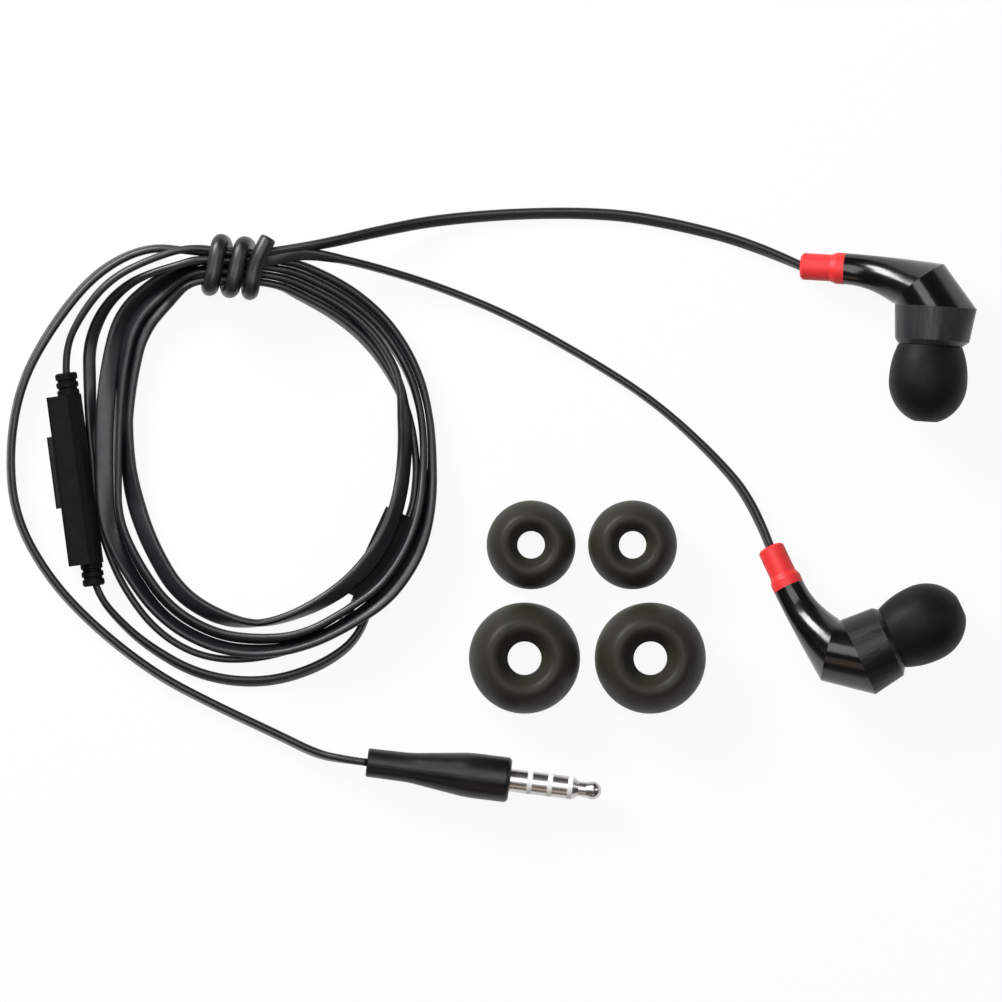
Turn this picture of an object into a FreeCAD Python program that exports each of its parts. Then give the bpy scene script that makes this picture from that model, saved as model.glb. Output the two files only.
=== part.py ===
import FreeCAD, Part
import math
import os
import Sketcher
from FreeCAD import Vector

# Wired earphones lying on a flat surface, seen from above with +Y up the picture.
# Millimetres, +Z up, z = 0 is the surface that everything lies on.

os.makedirs("parts", exist_ok=True)
doc = FreeCAD.newDocument("Earphones")

# Driving dimensions: name, value, what it is
SIZES = [
    ("main_cord_width", 2.85, "flat main cord, across its wide side"),
    ("main_cord_thick", 1.15, "flat main cord, across its thin side"),
    ("lead_width", 2.0, "flat lead to a bud, across its wide side"),
    ("lead_thick", 1.1, "flat lead to a bud, across its thin side"),
    ("strand_gap", 0.54, "free space between two strands that lie side by side"),
    ("tie_diameter", 2.4, "round rubber of the cable tie"),
    ("tie_x", -74.4, "bundle's middle at the tie, across the picture"),
    ("tie_y", 33.2, "bundle's middle at the tie, up the picture"),
    ("tie_clearance", 0.25, "free space between the tie and the strands that it holds"),
    ("tie_corner", 2.2, "bend of the tie's centre line at each corner of the bundle"),
    ("tie_pitch", 3.3, "step of the tie along the bundle in one wrap"),
    ("tie_slant", 2.5, "part of that step that is made on top"),
    ("tie_stub", 2.6, "straight cut end of the tie"),
    ("coil_lift", 4.75, "height of the upper loops' centre over the splitter and the leads"),
    ("splitter_length", 14.5, "cable splitter along the cord"),
    ("splitter_width", 5.6, "cable splitter across the cord"),
    ("splitter_height", 2.95, "cable splitter from the surface to its top"),
    ("splitter_chamfer", 0.5, "bevel round the splitter"),
    ("splitter_x", -48.9, "splitter's end at the main cord, across the picture"),
    ("splitter_y", -4.9, "splitter's end at the main cord, up the picture"),
    ("lead_spacing", 2.2, "distance between the two leads at the splitter"),
    ("plug_length", 22.0, "plug moulding along its axis"),
    ("plug_cord_radius", 2.2, "plug moulding where the cord enters"),
    ("plug_waist_radius", 2.25, "plug moulding at the grip"),
    ("plug_body_radius", 3.45, "plug moulding at its wide end"),
    ("plug_grip_length", 5.1, "slim grip of the plug moulding"),
    ("plug_flare_end", 16.8, "distance from the cord end to the end of the flare"),
    ("plug_ease_bend", 20.0, "bend at either end of the flare"),
    ("plug_ease_length", 2.6, "length of that bend"),
    ("plug_ease_rise", 0.17, "growth of the radius over that bend"),
    ("plug_edge", 0.7, "rounding of the wide end"),
    ("plug_cord_edge", 0.15, "bevel of the moulding's cord end, across"),
    ("plug_cord_edge_length", 0.2, "bevel of that end, along the axis"),
    ("plug_x", -54.35, "moulding's cord end, across the picture"),
    ("plug_y", -42.8, "moulding's cord end, up the picture"),
    ("pin_radius", 1.75, "3.5 mm jack pin"),
    ("pin_sleeve", 2.6, "sleeve contact that shows"),
    ("pin_band", 0.78, "each insulating band"),
    ("pin_ring", 2.33, "each ring contact"),
    ("pin_tip", 4.4, "tip contact"),
    ("pin_neck_radius", 1.15, "neck of the tip contact, where the jack spring holds"),
    ("pin_neck_start", 0.9, "neck from the tip contact's wide edge"),
    ("pin_neck_end", 2.1, "end of the neck from the same edge"),
    ("pin_head_radius", 1.4, "head of the tip contact"),
    ("pin_head_place", 3.1, "widest place of the head from the same edge"),
    ("pin_nose_radius", 0.4, "flat of the nose"),
    ("pin_nose_bend", 1.5, "bend of the head towards the nose"),
    ("pin_root", 6.0, "sleeve contact inside the moulding"),
    ("pin_root_radius", 1.5, "sleeve contact inside the moulding"),
    ("rod_radius", 0.6, "rod of the tip contact"),
    ("rod_cover_radius", 0.9, "insulation on that rod"),
    ("rod_root", 10.0, "rod inside the moulding"),
    ("remote_length", 26.0, "remote along the lead"),
    ("remote_depth", 5.2, "remote from its button face to its back"),
    ("remote_height", 5.4, "remote from the surface to its upper side"),
    ("remote_wall", 0.7, "shell wall"),
    ("remote_bevel", 0.9, "bevel of the back shell's lower long edge"),
    ("facet_start", 0.55, "upper facet of the back shell, from the remote's middle"),
    ("facet_end", 1.65, "end of that facet, from the remote's middle"),
    ("facet_drop", 0.42, "how far that facet slopes down"),
    ("facet_low", 2.1, "end of the steep facet below the upper side"),
    ("remote_seam", 2.0, "depth of the front shell"),
    ("remote_edge", 0.5, "bevel of the front shell's long edges"),
    ("remote_x", -98.95, "remote's middle, across the picture"),
    ("remote_y", 0.3, "remote's middle, up the picture"),
    ("facet_low_wall", 0.2, "shell wall added at the low end of the steep facet"),
    ("facet_end_wall", 0.55, "shell wall at the end of the upper facet, across"),
    ("facet_drop_wall", 0.25, "shell wall added under the end of the upper facet"),
    ("button_length", 11.0, "button along the remote"),
    ("button_height", 2.6, "button across the remote"),
    ("button_proud", 0.8, "how far the button stands out"),
    ("button_place", 1.5, "button's middle from the remote's middle, towards the bud"),
    ("button_travel", 0.3, "button stroke"),
    ("button_clearance", 0.12, "free space round the button in its slot"),
    ("button_flange", 0.42, "how far the button's flange reaches past the slot"),
    ("button_flange_thick", 0.35, "thickness of that flange"),
    ("button_edge", 0.3, "bevel of the button's long edges"),
    ("button_overlap", 0.02, "how far the button reaches into its flange"),
    ("collar_radius", 1.7, "strain relief collar on the remote"),
    ("collar_offset", 0.75, "collar's axis behind the middle of the remote"),
    ("collar_length", 3.4, "collar outside the shells"),
    ("collar_groove", 0.25, "depth of the collar's grooves"),
    ("collar_groove_width", 0.25, "floor of a groove, along the collar"),
    ("collar_groove_slope", 0.15, "sloping side of a groove, along the collar"),
    ("collar_edge", 0.25, "bevel of the collar's end"),
    ("collar_tenon_radius", 1.2, "collar inside the end wall"),
    ("board_thick", 0.6, "circuit board of the remote"),
    ("board_length", 22.0, "circuit board along the remote"),
    ("board_gap", 0.5, "board behind the seam of the shells"),
    ("switch_radius", 1.4, "dome switch"),
    ("switch_edge", 0.15, "rim of the dome switch"),
    ("switch_gap", 0.05, "free space between the pressed button and the switch"),
    ("microphone_radius", 1.0, "microphone capsule"),
    ("microphone_snout", 0.4, "narrow front of the capsule"),
    ("microphone_mesh", 0.58, "radius of the mesh over the sound hole, and of the narrow front"),
    ("mesh_sheet", 0.15, "thickness of that mesh"),
    ("microphone_place", 8.5, "distance of the microphone from the remote's middle"),
    ("microphone_height", 2.4, "axis of the microphone above the surface"),
    ("microphone_hole", 0.5, "sound hole in the back shell"),
    ("drum_radius", 5.8, "round driver chamber of a bud"),
    ("keel_reach", 6.75, "outer keel of a bud, from the nozzle axis"),
    ("drum_length", 5.1, "front housing from the seam to its shoulder"),
    ("drum_front_radius", 5.45, "front housing at the shoulder"),
    ("shoulder_length", 0.8, "bevel from the shoulder to the front wall"),
    ("shoulder_inset", 0.6, "how far that bevel comes in"),
    ("housing_wall", 0.9, "wall of both housings"),
    ("front_wall", 1.0, "front wall round the nozzle"),
    ("nozzle_radius", 2.3, "nozzle outside"),
    ("nozzle_bore", 1.7, "nozzle inside"),
    ("nozzle_length", 3.6, "nozzle in front of the shoulder bevel"),
    ("nozzle_lip", 0.25, "how far the nozzle's lip stands out"),
    ("nozzle_lip_length", 0.8, "length of that lip"),
    ("stem_radius", 2.4, "stem of the rear housing at the boot"),
    ("stem_end", 13.8, "distance of the stem's end from the nozzle axis"),
    ("stem_back", 5.0, "distance of the stem's axis behind the seam"),
    ("stem_middle", 9.0, "middle of the stem, from the nozzle axis"),
    ("stem_middle_back", 4.45, "stem's axis there, behind the seam"),
    ("stem_swell", 0.4, "stem there is higher by this"),
    ("stem_side", 0.25, "stem there is wider by this"),
    ("bend_place", 4.3, "outer side of the bend, towards the stem"),
    ("bend_back", 0.4, "outer side of the bend, behind the outer corner"),
    ("bend_inner", 0.9, "inner side of the bend, outside the chamber"),
    ("bend_inner_back", 0.5, "inner side of the bend, behind the seam"),
    ("bend_narrow", 1.7, "bend narrower than the chamber by this"),
    ("back_corner", 6.6, "outer corner of the rear housing behind the seam"),
    ("corner_place", 1.3, "outer corner from the nozzle axis, away from the stem"),
    ("corner_inner", 0.2, "inner side of the corner section, outside the chamber"),
    ("corner_inner_back", 0.25, "inner side of that section, behind the seam"),
    ("corner_narrow", 0.25, "that section narrower than the chamber by this"),
    ("left_bud_x", 31.9, "left bud's seam on the nozzle axis, across the picture"),
    ("left_bud_y", 26.7, "left bud's seam on the nozzle axis, up the picture"),
    ("right_bud_x", 20.3, "right bud's seam on the nozzle axis, across the picture"),
    ("right_bud_y", -26.3, "right bud's seam on the nozzle axis, up the picture"),
    ("boot_length", 6.8, "cable boot along the stem's axis"),
    ("boot_radius", 2.05, "cable boot"),
    ("boot_flange_radius", 2.4, "cable boot where it meets the housing"),
    ("boot_tenon_length", 1.4, "boot inside the stem"),
    ("boot_fit", 0.3, "free space between that tenon and the stem"),
    ("boot_flange_length", 1.3, "wide end of the boot"),
    ("boot_taper_end", 2.2, "end of the taper behind it, from the boot's foot"),
    ("boot_edge", 0.35, "bevel of the boot's cord end"),
    ("wire_radius", 0.45, "pair of wires inside the stem"),
    ("clip_radius", 1.1, "crimp on the wires"),
    ("clip_length", 1.6, "crimp along the wires"),
    ("clip_gap", 0.4, "free space between the crimp and the boot"),
    ("driver_radius", 4.55, "driver basket"),
    ("driver_depth", 3.0, "driver basket along the nozzle axis"),
    ("basket_wall", 0.45, "basket wall and floor"),
    ("basket_fit", 0.06, "free space round the diaphragm"),
    ("magnet_radius", 2.5, "magnet disc"),
    ("magnet_thick", 1.1, "magnet disc"),
    ("pole_thick", 0.5, "pole plate on the magnet"),
    ("yoke_radius", 3.5, "steel cup of the magnet"),
    ("yoke_wall", 0.45, "steel cup's wall and floor"),
    ("coil_radius", 2.78, "middle of the voice coil's wall"),
    ("coil_wall", 0.16, "voice coil's wall"),
    ("coil_depth", 1.0, "voice coil along the axis"),
    ("film_thick", 0.12, "diaphragm film"),
    ("film_dome", 0.5, "rise of the diaphragm's dome"),
    ("film_stroke", 0.1, "travel of the diaphragm either way"),
    ("terminal_thick", 0.4, "terminal board behind the basket"),
    ("terminal_inset", 0.4, "terminal board smaller than the steel cup by this"),
    ("damper_thick", 0.3, "acoustic damper in the nozzle"),
    ("mesh_thick", 0.25, "nozzle mesh"),
    ("mesh_recess", 0.15, "nozzle mesh behind the end of the nozzle"),
    ("sole_fit", 0.3, "free space between the tip and the housing"),
    ("tip_radius", 6.0, "fitted ear tip, widest"),
    ("tip_length", 11.1, "fitted ear tip along its axis"),
    ("tip_skirt_radius", 5.3, "fitted ear tip at its skirt edge"),
    ("tip_skirt_length", 5.2, "fitted ear tip from its skirt edge to its widest place"),
    ("tip_skirt_bend", 19.7, "bend of the skirt along the axis"),
    ("tip_dome_bend", 6.31, "bend of the dome, which meets the skirt smoothly"),
    ("tip_mouth_radius", 1.9, "sound opening of the fitted tip"),
    ("tip_rim", 0.5, "width of the rounded rim of that opening"),
    ("tip_rim_depth", 0.35, "depth of that rim"),
    ("tip_rim_bend", 0.6, "bend of that rim"),
    ("tip_hollow_end", 2.6, "closed front of the tip's hollow, behind its crest"),
    ("tip_hollow_bend", 7.0, "bend of the hollow inside the dome"),
    ("tip_wall", 0.7, "silicone skirt"),
    ("tip_sleeve_wall", 0.75, "silicone sleeve on the nozzle"),
    ("tip_stretch", 0.05, "free space between the tip's sleeve and the nozzle"),
    ("small_radius", 6.8, "small spare tip"),
    ("small_length", 7.0, "small spare tip from the surface to its crest"),
    ("small_bore", 2.1, "bore of the small spare tip"),
    ("large_radius", 8.5, "large spare tip"),
    ("large_length", 8.4, "large spare tip from the surface to its crest"),
    ("large_bore", 2.58, "bore of the large spare tip"),
    ("small_tips_y", -9.6, "small spare tips, up the picture"),
    ("small_left_x", -29.3, "left small spare tip, across the picture"),
    ("small_right_x", -13.8, "right small spare tip, across the picture"),
    ("large_tips_y", -26.9, "large spare tips, up the picture"),
    ("large_left_x", -30.3, "left large spare tip, across the picture"),
    ("large_right_x", -11.1, "right large spare tip, across the picture"),
    ("spare_wall", 0.8, "skirt of a spare tip"),
    ("spare_sleeve_wall", 0.9, "sleeve of a spare tip"),
    ("spare_tuck", 0.45, "how far the skirt's edge is drawn in"),
    ("spare_skirt_bend", 6.0, "bend of the skirt near its edge"),
    ("spare_sleeve_start", 0.6, "sleeve above the surface"),
    ("spare_hollow_end", 1.9, "closed top of the hollow below the crest"),
    ("bud_height", 6.05, "nozzle axis above the surface"),
]

sheet = doc.addObject("Spreadsheet::Sheet", "Sizes")
for row, (name, amount, meaning) in enumerate(SIZES, 1):
    sheet.set("A%d" % row, name)
    sheet.set("B%d" % row, str(amount))
    sheet.set("C%d" % row, meaning)
    sheet.setAlias("B%d" % row, name)
doc.recompute()


# A length together with the expression that gives it, so that what uses it follows the sheet
class Size:
    def __init__(self, amount, text):
        self.amount = amount
        self.text = text

    def __add__(self, other):
        other = as_size(other)
        return Size(self.amount + other.amount, "(%s + %s)" % (self.text, other.text))

    def __sub__(self, other):
        other = as_size(other)
        return Size(self.amount - other.amount, "(%s - %s)" % (self.text, other.text))

    def __mul__(self, factor):
        factor = as_size(factor)
        return Size(self.amount * factor.amount, "(%s * %s)" % (self.text, factor.text))

    def __neg__(self):
        return Size(-self.amount, "(0 - %s)" % self.text)


def as_size(thing):
    if isinstance(thing, Size):
        return thing
    return Size(float(thing), "%.6f" % thing)


S = {name: Size(float(sheet.get(name)), "Sizes.%s" % name) for name, amount, meaning in SIZES}
V = {name: S[name].amount for name in S}
ZERO = as_size(0)
nodes = []


def bind(thing, **properties):
    for name, length in properties.items():
        setattr(thing, name, as_size(length).amount)
        if isinstance(length, Size):
            thing.setExpression(name, length.text)


def keep(thing, label, placement):
    thing.Label = label
    if placement is not None:
        thing.Placement = placement
    nodes.append(thing)
    return thing


# Sketches: a closed outline whose corners are all bound to the sheet.
# A corner is (across, up) or (across, up, radius, side) where an arc of that radius leads to it;
# side is 1 where the arc bulges to the right of the way round and -1 where it bulges to the left.
def arc_middle(start, end, radius, side):
    chord = end - start
    half = chord.Length / 2
    rise = radius - math.sqrt(max(radius ** 2 - half ** 2, 0))
    normal = Vector(chord.y, -chord.x, 0).normalize()
    return (start + end) * 0.5 + normal * (rise * side)


def pin_corner(sketch, edge, head, corner):
    for kind, length in (("DistanceX", as_size(corner[0])), ("DistanceY", as_size(corner[1]))):
        index = sketch.addConstraint(Sketcher.Constraint(kind, -1, 1, edge, head, length.amount))
        sketch.setExpression("Constraints[%d]" % index, length.text)


def draw(sketch, corners):
    spots = [Vector(as_size(c[0]).amount, as_size(c[1]).amount, 0) for c in corners]
    first = sketch.GeometryCount
    count = len(corners)
    for i in range(count):
        end = corners[(i + 1) % count]
        a = spots[i]
        b = spots[(i + 1) % count]
        if len(end) == 4:
            middle = arc_middle(a, b, as_size(end[2]).amount, end[3])
            sketch.addGeometry(Part.Arc(a, middle, b), False)
        else:
            sketch.addGeometry(Part.LineSegment(a, b), False)
    heads = []
    for i in range(count):
        end = corners[(i + 1) % count]
        turned = len(end) == 4 and end[3] < 0
        heads.append((2, 1) if turned else (1, 2))
    for i in range(count):
        after = (i + 1) % count
        meeting = (first + i, heads[i][1], first + after, heads[after][0])
        sketch.addConstraint(Sketcher.Constraint("Coincident", *meeting))
    for i in range(count):
        pin_corner(sketch, first + i, heads[i][0], corners[i])
        end = corners[(i + 1) % count]
        if len(end) == 4:
            radius = as_size(end[2])
            index = sketch.addConstraint(Sketcher.Constraint("Radius", first + i, radius.amount))
            sketch.setExpression("Constraints[%d]" % index, radius.text)


def add_circle(sketch, spot_x, spot_y, radius):
    centre = Vector(spot_x.amount, spot_y.amount, 0)
    index = sketch.addGeometry(Part.Circle(centre, Vector(0, 0, 1), radius.amount), False)
    pin_corner(sketch, index, 3, (spot_x, spot_y))
    bound = sketch.addConstraint(Sketcher.Constraint("Radius", index, radius.amount))
    sketch.setExpression("Constraints[%d]" % bound, radius.text)


def new_body(label):
    return doc.addObject("PartDesign::Body", "Body_" + label)


def plane_of(body, role):
    return [f for f in body.Origin.OriginFeatures if f.Role == role][0]


def sketch_on(body, role, name):
    sketch = body.newObject("Sketcher::SketchObject", body.Name + "_" + name)
    sketch.AttachmentSupport = [(plane_of(body, role), "")]
    sketch.MapMode = "FlatFace"
    return sketch


# A turned piece: its outline in (radius, height) goes round the local Z axis
def turned(label, corners, placement):
    body = new_body(label)
    sketch = sketch_on(body, "XZ_Plane", "outline")
    draw(sketch, corners)
    spin = body.newObject("PartDesign::Revolution", body.Name + "_spin")
    spin.Profile = sketch
    spin.ReferenceAxis = (sketch, ["V_Axis"])
    spin.Angle = 360
    body.Tip = spin
    return keep(body, label, placement)


def shift_along(sketch, shift):
    if shift is not None:
        sketch.setExpression("AttachmentOffset.Base.z", "-" + shift.text)


# An extruded piece: its outline in (X, Z) runs along the local Y axis, half each way
def extruded(label, corners, length, placement, shift=None):
    body = new_body(label)
    sketch = sketch_on(body, "XZ_Plane", "outline")
    shift_along(sketch, shift)
    draw(sketch, corners)
    pad = body.newObject("PartDesign::Pad", body.Name + "_pad")
    pad.Profile = sketch
    pad.Midplane = True
    bind(pad, Length=length)
    body.Tip = pad
    return keep(body, label, placement)


def pocket(body, name, corners, length, shift=None):
    sketch = sketch_on(body, "XZ_Plane", name)
    shift_along(sketch, shift)
    draw(sketch, corners)
    cut = body.newObject("PartDesign::Pocket", body.Name + "_" + name + "_cut")
    cut.Profile = sketch
    cut.Midplane = True
    bind(cut, Length=length)
    body.Tip = cut
    return cut


def rectangle(x0, z0, x1, z1):
    return [(x0, z0), (x1, z0), (x1, z1), (x0, z1)]


def feature(label, shape, placement=None):
    thing = doc.addObject("Part::Feature", "Form_" + label)
    thing.Shape = shape
    return keep(thing, label, placement)


def axes(origin, x_axis, z_axis):
    z_axis = Vector(z_axis).normalize()
    y_axis = z_axis.cross(Vector(x_axis)).normalize()
    x_axis = y_axis.cross(z_axis)
    turn = FreeCAD.Rotation(x_axis, y_axis, z_axis, "ZXY")
    return FreeCAD.Placement(Vector(origin), turn)


# Paths of straight runs and arcs
def line(p, q):
    return Part.LineSegment(p, q).toShape()


def arc_from(p, heading, q):
    chord = q - p
    normal = heading.cross(chord)
    if normal.Length < 1e-6 * chord.Length:
        return line(p, q)
    inward = normal.cross(heading).normalize()
    radius = chord.dot(chord) / (2 * chord.dot(inward))
    centre = p + inward * radius
    middle = centre + ((p + q) * 0.5 - centre).normalize() * radius
    return Part.Arc(p, middle, q).toShape()


def biarc(p, p_heading, q, q_heading):
    chord = q - p
    both = p_heading + q_heading
    a = 2 * (1 - p_heading.dot(q_heading))
    b = 2 * chord.dot(both)
    c = chord.dot(chord)
    reach = c / b if a < 1e-9 else (math.sqrt(b * b + 4 * a * c) - b) / (2 * a)
    joint = (p + p_heading * reach + q - q_heading * reach) * 0.5
    heading = (joint - (p + p_heading * reach)).normalize()
    return [arc_from(p, p_heading, joint), arc_from(joint, heading, q)]


def wound_path(stations):
    edges = []
    for (p, p_heading), (q, q_heading) in zip(stations[:-1], stations[1:]):
        p_heading = Vector(p_heading).normalize()
        q_heading = Vector(q_heading).normalize()
        straight = (q - p).normalize().dot(p_heading) > 0.999999 and p_heading.dot(q_heading) > 0.999999
        edges += [line(p, q)] if straight else biarc(p, p_heading, q, q_heading)
    return Part.Wire(edges)


ARC_SHARE = 0.45


def run_path(points):
    edges = []
    radii = []
    spot = points[0]
    for before, corner, after in zip(points[:-2], points[1:-1], points[2:]):
        back = (before - corner)
        ahead = (after - corner)
        reach = ARC_SHARE * min(back.Length, ahead.Length)
        turn = math.pi - back.getAngle(ahead)
        radii.append(reach / math.tan(turn / 2))
        start = corner + back.normalize() * reach
        end = corner + ahead.normalize() * reach
        edges.append(line(spot, start))
        edges.append(arc_from(start, back * -1, end))
        spot = end
    edges.append(line(spot, points[-1]))
    return Part.Wire(edges), radii


# The flat cord's section: two straight sides and two round edges, standing on its thin side
def flat_section(spot, heading, wide, thick):
    side = heading.cross(Vector(0, 0, 1)).normalize()
    up = side.cross(heading).normalize()
    edge = thick / 2
    half = wide / 2 - edge
    low_right = spot - up * half + side * edge
    high_right = spot + up * half + side * edge
    high_left = spot + up * half - side * edge
    low_left = spot - up * half - side * edge
    top = Part.Arc(high_right, spot + up * (half + edge), high_left).toShape()
    bottom = Part.Arc(low_left, spot - up * (half + edge), low_right).toShape()
    return Part.Wire([line(low_right, high_right), top, line(high_left, low_left), bottom])


def round_section(spot, heading, diameter):
    return Part.Wire([Part.makeCircle(diameter / 2, spot, heading)])


def along(path, section):
    shell = Part.BRepOffsetAPI.MakePipeShell(path)
    shell.add(section)
    shell.build()
    shell.makeSolid()
    return shell.shape()


def start_of(path):
    first = path.OrderedVertexes[0].Point
    second = path.OrderedVertexes[1].Point
    return first, (second - first).normalize()


def report_tube(label, shape, path, area, radii):
    values = (label, path.Length, shape.Volume, area * path.Length)
    print("%s: length %.1f, volume %.1f, section times length %.1f" % values)
    if radii:
        print("   radii " + ", ".join("%.1f" % r for r in radii))


def flat_area(wide, thick):
    return (wide - thick) * thick + math.pi * thick * thick / 4


def cord_tube(label, points, wide, thick):
    path, radii = run_path([Vector(*p) for p in points])
    spot, heading = start_of(path)
    shape = along(path, flat_section(spot, heading, wide, thick))
    report_tube(label, shape, path, flat_area(wide, thick), radii)
    return feature(label, shape)


# The least gap between stretches of a wound cord that lie farther apart along it than `apart`
SAMPLE_STEP = 0.5


def least_gap(path, wide, thick, apart):
    spots = path.discretize(Distance=SAMPLE_STEP)
    skip = int(apart / SAMPLE_STEP)
    least = math.inf
    for i, p in enumerate(spots):
        for q in spots[i + skip:]:
            level = math.hypot(q.x - p.x, q.y - p.y)
            rise = abs(q.z - p.z)
            if wide == thick:
                gap = p.distanceToPoint(q) - thick
            else:
                gap = max(level - thick, rise - wide)
            least = min(least, gap)
    return least


# Ear buds. Local frame: +Z out of the nozzle, +X to the outer keel, the stem runs towards -X,
# z = 0 is the seam between the two housings.
SECTION_POINTS = 24
KEEL_PINCH = 0.3
STEM_PINCH = 0.05
BEND_PINCH = 0.15
CORNER_PINCH = 0.25
SHOULDER_PINCH = 0.15
KEEL_SHARE = 0.5
OVERRUN = 1.0
front_face = S["drum_length"] + S["shoulder_length"]
cavity_end = front_face - S["front_wall"]
driver_back = cavity_end - S["driver_depth"]
lip_radius = S["nozzle_radius"] + S["nozzle_lip"]
nozzle_end = front_face + S["nozzle_length"]


# A closed section in a plane that holds the local Y axis: outer is the keel's end, inner the other
def housing_section(outer, inner, half_width, inset, pinch=KEEL_PINCH):
    outer = Vector(outer[0], 0, outer[1])
    inner = Vector(inner[0], 0, inner[1])
    centre = (outer + inner) * 0.5
    reach = outer - inner
    long_half = reach.Length / 2 - inset
    reach.normalize()
    spots = []
    for i in range(SECTION_POINTS):
        angle = 2 * math.pi * i / SECTION_POINTS
        narrow = 1 - pinch * max(0.0, math.cos(angle)) ** 2
        across = (half_width - inset) * math.sin(angle) * narrow
        spots.append(centre + reach * (long_half * math.cos(angle)) + Vector(0, across, 0))
    curve = Part.BSplineCurve()
    curve.interpolate(spots, PeriodicFlag=True)
    return Part.Wire([curve.toShape()])


def rear_sections(inset):
    stem = V["stem_radius"]
    axis = -V["stem_back"]
    stem_end = (-V["stem_end"], axis - stem), (-V["stem_end"], axis + stem)
    neck = stem + V["stem_swell"]
    axis = -V["stem_middle_back"]
    stem_middle = (-V["stem_middle"], axis - neck), (-V["stem_middle"], axis + neck)
    drum = V["drum_radius"]
    bend_outer = (-V["bend_place"], -V["back_corner"] - V["bend_back"])
    bend_inner = (-drum - V["bend_inner"], -V["bend_inner_back"])
    corner_outer = (V["corner_place"], -V["back_corner"])
    corner_inner = (-drum - V["corner_inner"], -V["corner_inner_back"])
    return [
        housing_section(stem_end[0], stem_end[1], stem, inset, 0.0),
        housing_section(stem_middle[0], stem_middle[1], stem + V["stem_side"], inset, STEM_PINCH),
        housing_section(bend_outer, bend_inner, drum - V["bend_narrow"], inset, BEND_PINCH),
        housing_section(corner_outer, corner_inner, drum - V["corner_narrow"], inset, CORNER_PINCH),
    ]


def seam_section(inset):
    return housing_section((V["keel_reach"], 0), (-V["drum_radius"], 0), V["drum_radius"], inset)


def loft(sections, ruled):
    return Part.makeLoft(sections, True, ruled)


def rear_form(inset):
    sections = rear_sections(inset)
    stem = loft(sections, False)
    drum = loft([sections[-1], seam_section(inset)], True)
    return stem.fuse(drum)


def rear_housing():
    return rear_form(0.0).cut(rear_form(V["housing_wall"]))


def front_housing():
    shoulder = V["drum_length"]
    face = front_face.amount
    front = V["drum_front_radius"]
    keel = front + KEEL_SHARE * (V["keel_reach"] - V["drum_radius"])
    face_radius = front - V["shoulder_inset"]
    outer = loft([
        seam_section(0.0),
        housing_section((keel, shoulder), (-front, shoulder), front, 0.0, SHOULDER_PINCH),
    ], True)
    bevel = loft([
        housing_section((keel, shoulder), (-front, shoulder), front, 0.0, SHOULDER_PINCH),
        housing_section((face_radius, face), (-face_radius, face), face_radius, 0.0, 0.0),
    ], True)
    nozzle_foot = Vector(0, 0, face - OVERRUN)
    nozzle = Part.makeCylinder(V["nozzle_radius"], V["nozzle_length"] + OVERRUN, nozzle_foot)
    lip_foot = Vector(0, 0, nozzle_end.amount - V["nozzle_lip_length"])
    lip = Part.makeCylinder(lip_radius.amount, V["nozzle_lip_length"], lip_foot)
    chamber = Part.makeCylinder(V["driver_radius"], cavity_end.amount)
    bore = Part.makeCylinder(V["nozzle_bore"], nozzle_end.amount)
    return outer.fuse([bevel, nozzle, lip]).cut([chamber, bore])


def ear_tip_outline():
    inner = lip_radius + S["tip_stretch"]
    sleeve = inner + S["tip_sleeve_wall"]
    edge = front_face + S["sole_fit"]
    crest = edge + S["tip_length"]
    widest = edge + S["tip_skirt_length"]
    mouth = S["tip_mouth_radius"]
    sleeve_end = nozzle_end + S["sole_fit"]
    return [
        (inner, front_face),
        (sleeve, front_face),
        (sleeve, crest - S["tip_hollow_end"]),
        (S["tip_radius"] - S["tip_wall"], widest, S["tip_hollow_bend"], -1),
        (S["tip_skirt_radius"] - S["tip_wall"], edge, S["tip_skirt_bend"], -1),
        (S["tip_skirt_radius"], edge),
        (S["tip_radius"], widest, S["tip_skirt_bend"], 1),
        (mouth + S["tip_rim"], crest, S["tip_dome_bend"], 1),
        (mouth, crest - S["tip_rim_depth"], S["tip_rim_bend"], 1),
        (mouth, sleeve_end),
        (inner, sleeve_end),
    ]


# A spare tip's profile, as shares of its radius and of its length
WIDEST_SHARE = 0.3
DOME_BEND_SHARE = 0.906
HOLLOW_BEND_SHARE = 1.02
CREST_RADIUS_SHARE = 0.72
CREST_LENGTH_SHARE = 0.953
RIM_RADIUS_SHARE = 0.445
RIM_LENGTH_SHARE = 0.914
RIM_BEND_SHARE = 0.176
BORE_END_SHARE = 0.685


def spare_tip_outline(radius, length, bore):
    sleeve = bore + S["spare_sleeve_wall"]
    edge = radius - S["spare_tuck"]
    widest = length * WIDEST_SHARE
    wall = S["spare_wall"]
    skirt_bend = S["spare_skirt_bend"]
    return [
        (bore, S["spare_sleeve_start"]),
        (sleeve, S["spare_sleeve_start"]),
        (sleeve, length - S["spare_hollow_end"]),
        (radius - wall, widest, radius * HOLLOW_BEND_SHARE, -1),
        (edge - wall, 0, skirt_bend, -1),
        (edge, 0),
        (radius, widest, skirt_bend, 1),
        (radius * CREST_RADIUS_SHARE, length * CREST_LENGTH_SHARE, radius * DOME_BEND_SHARE, 1),
        (radius * RIM_RADIUS_SHARE, length * RIM_LENGTH_SHARE, radius * RIM_BEND_SHARE, 1),
        (bore, length * BORE_END_SHARE),
    ]


# The diaphragm's dome, as shares of its foot's radius and of its rise
FLAT_SHARE = 0.45
SLOPE_SHARE = 0.8
SLOPE_DROP_SHARE = 0.4


# The pair of wires from the terminal board to the stem's axis, in the bud's local X and Z
WIRE_FOOT = -2.0
WIRE_BENDS = [(-2.6, -2.6), (-5.6, -4.6)]
WIRE_STRAIGHT = -8.6


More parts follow.
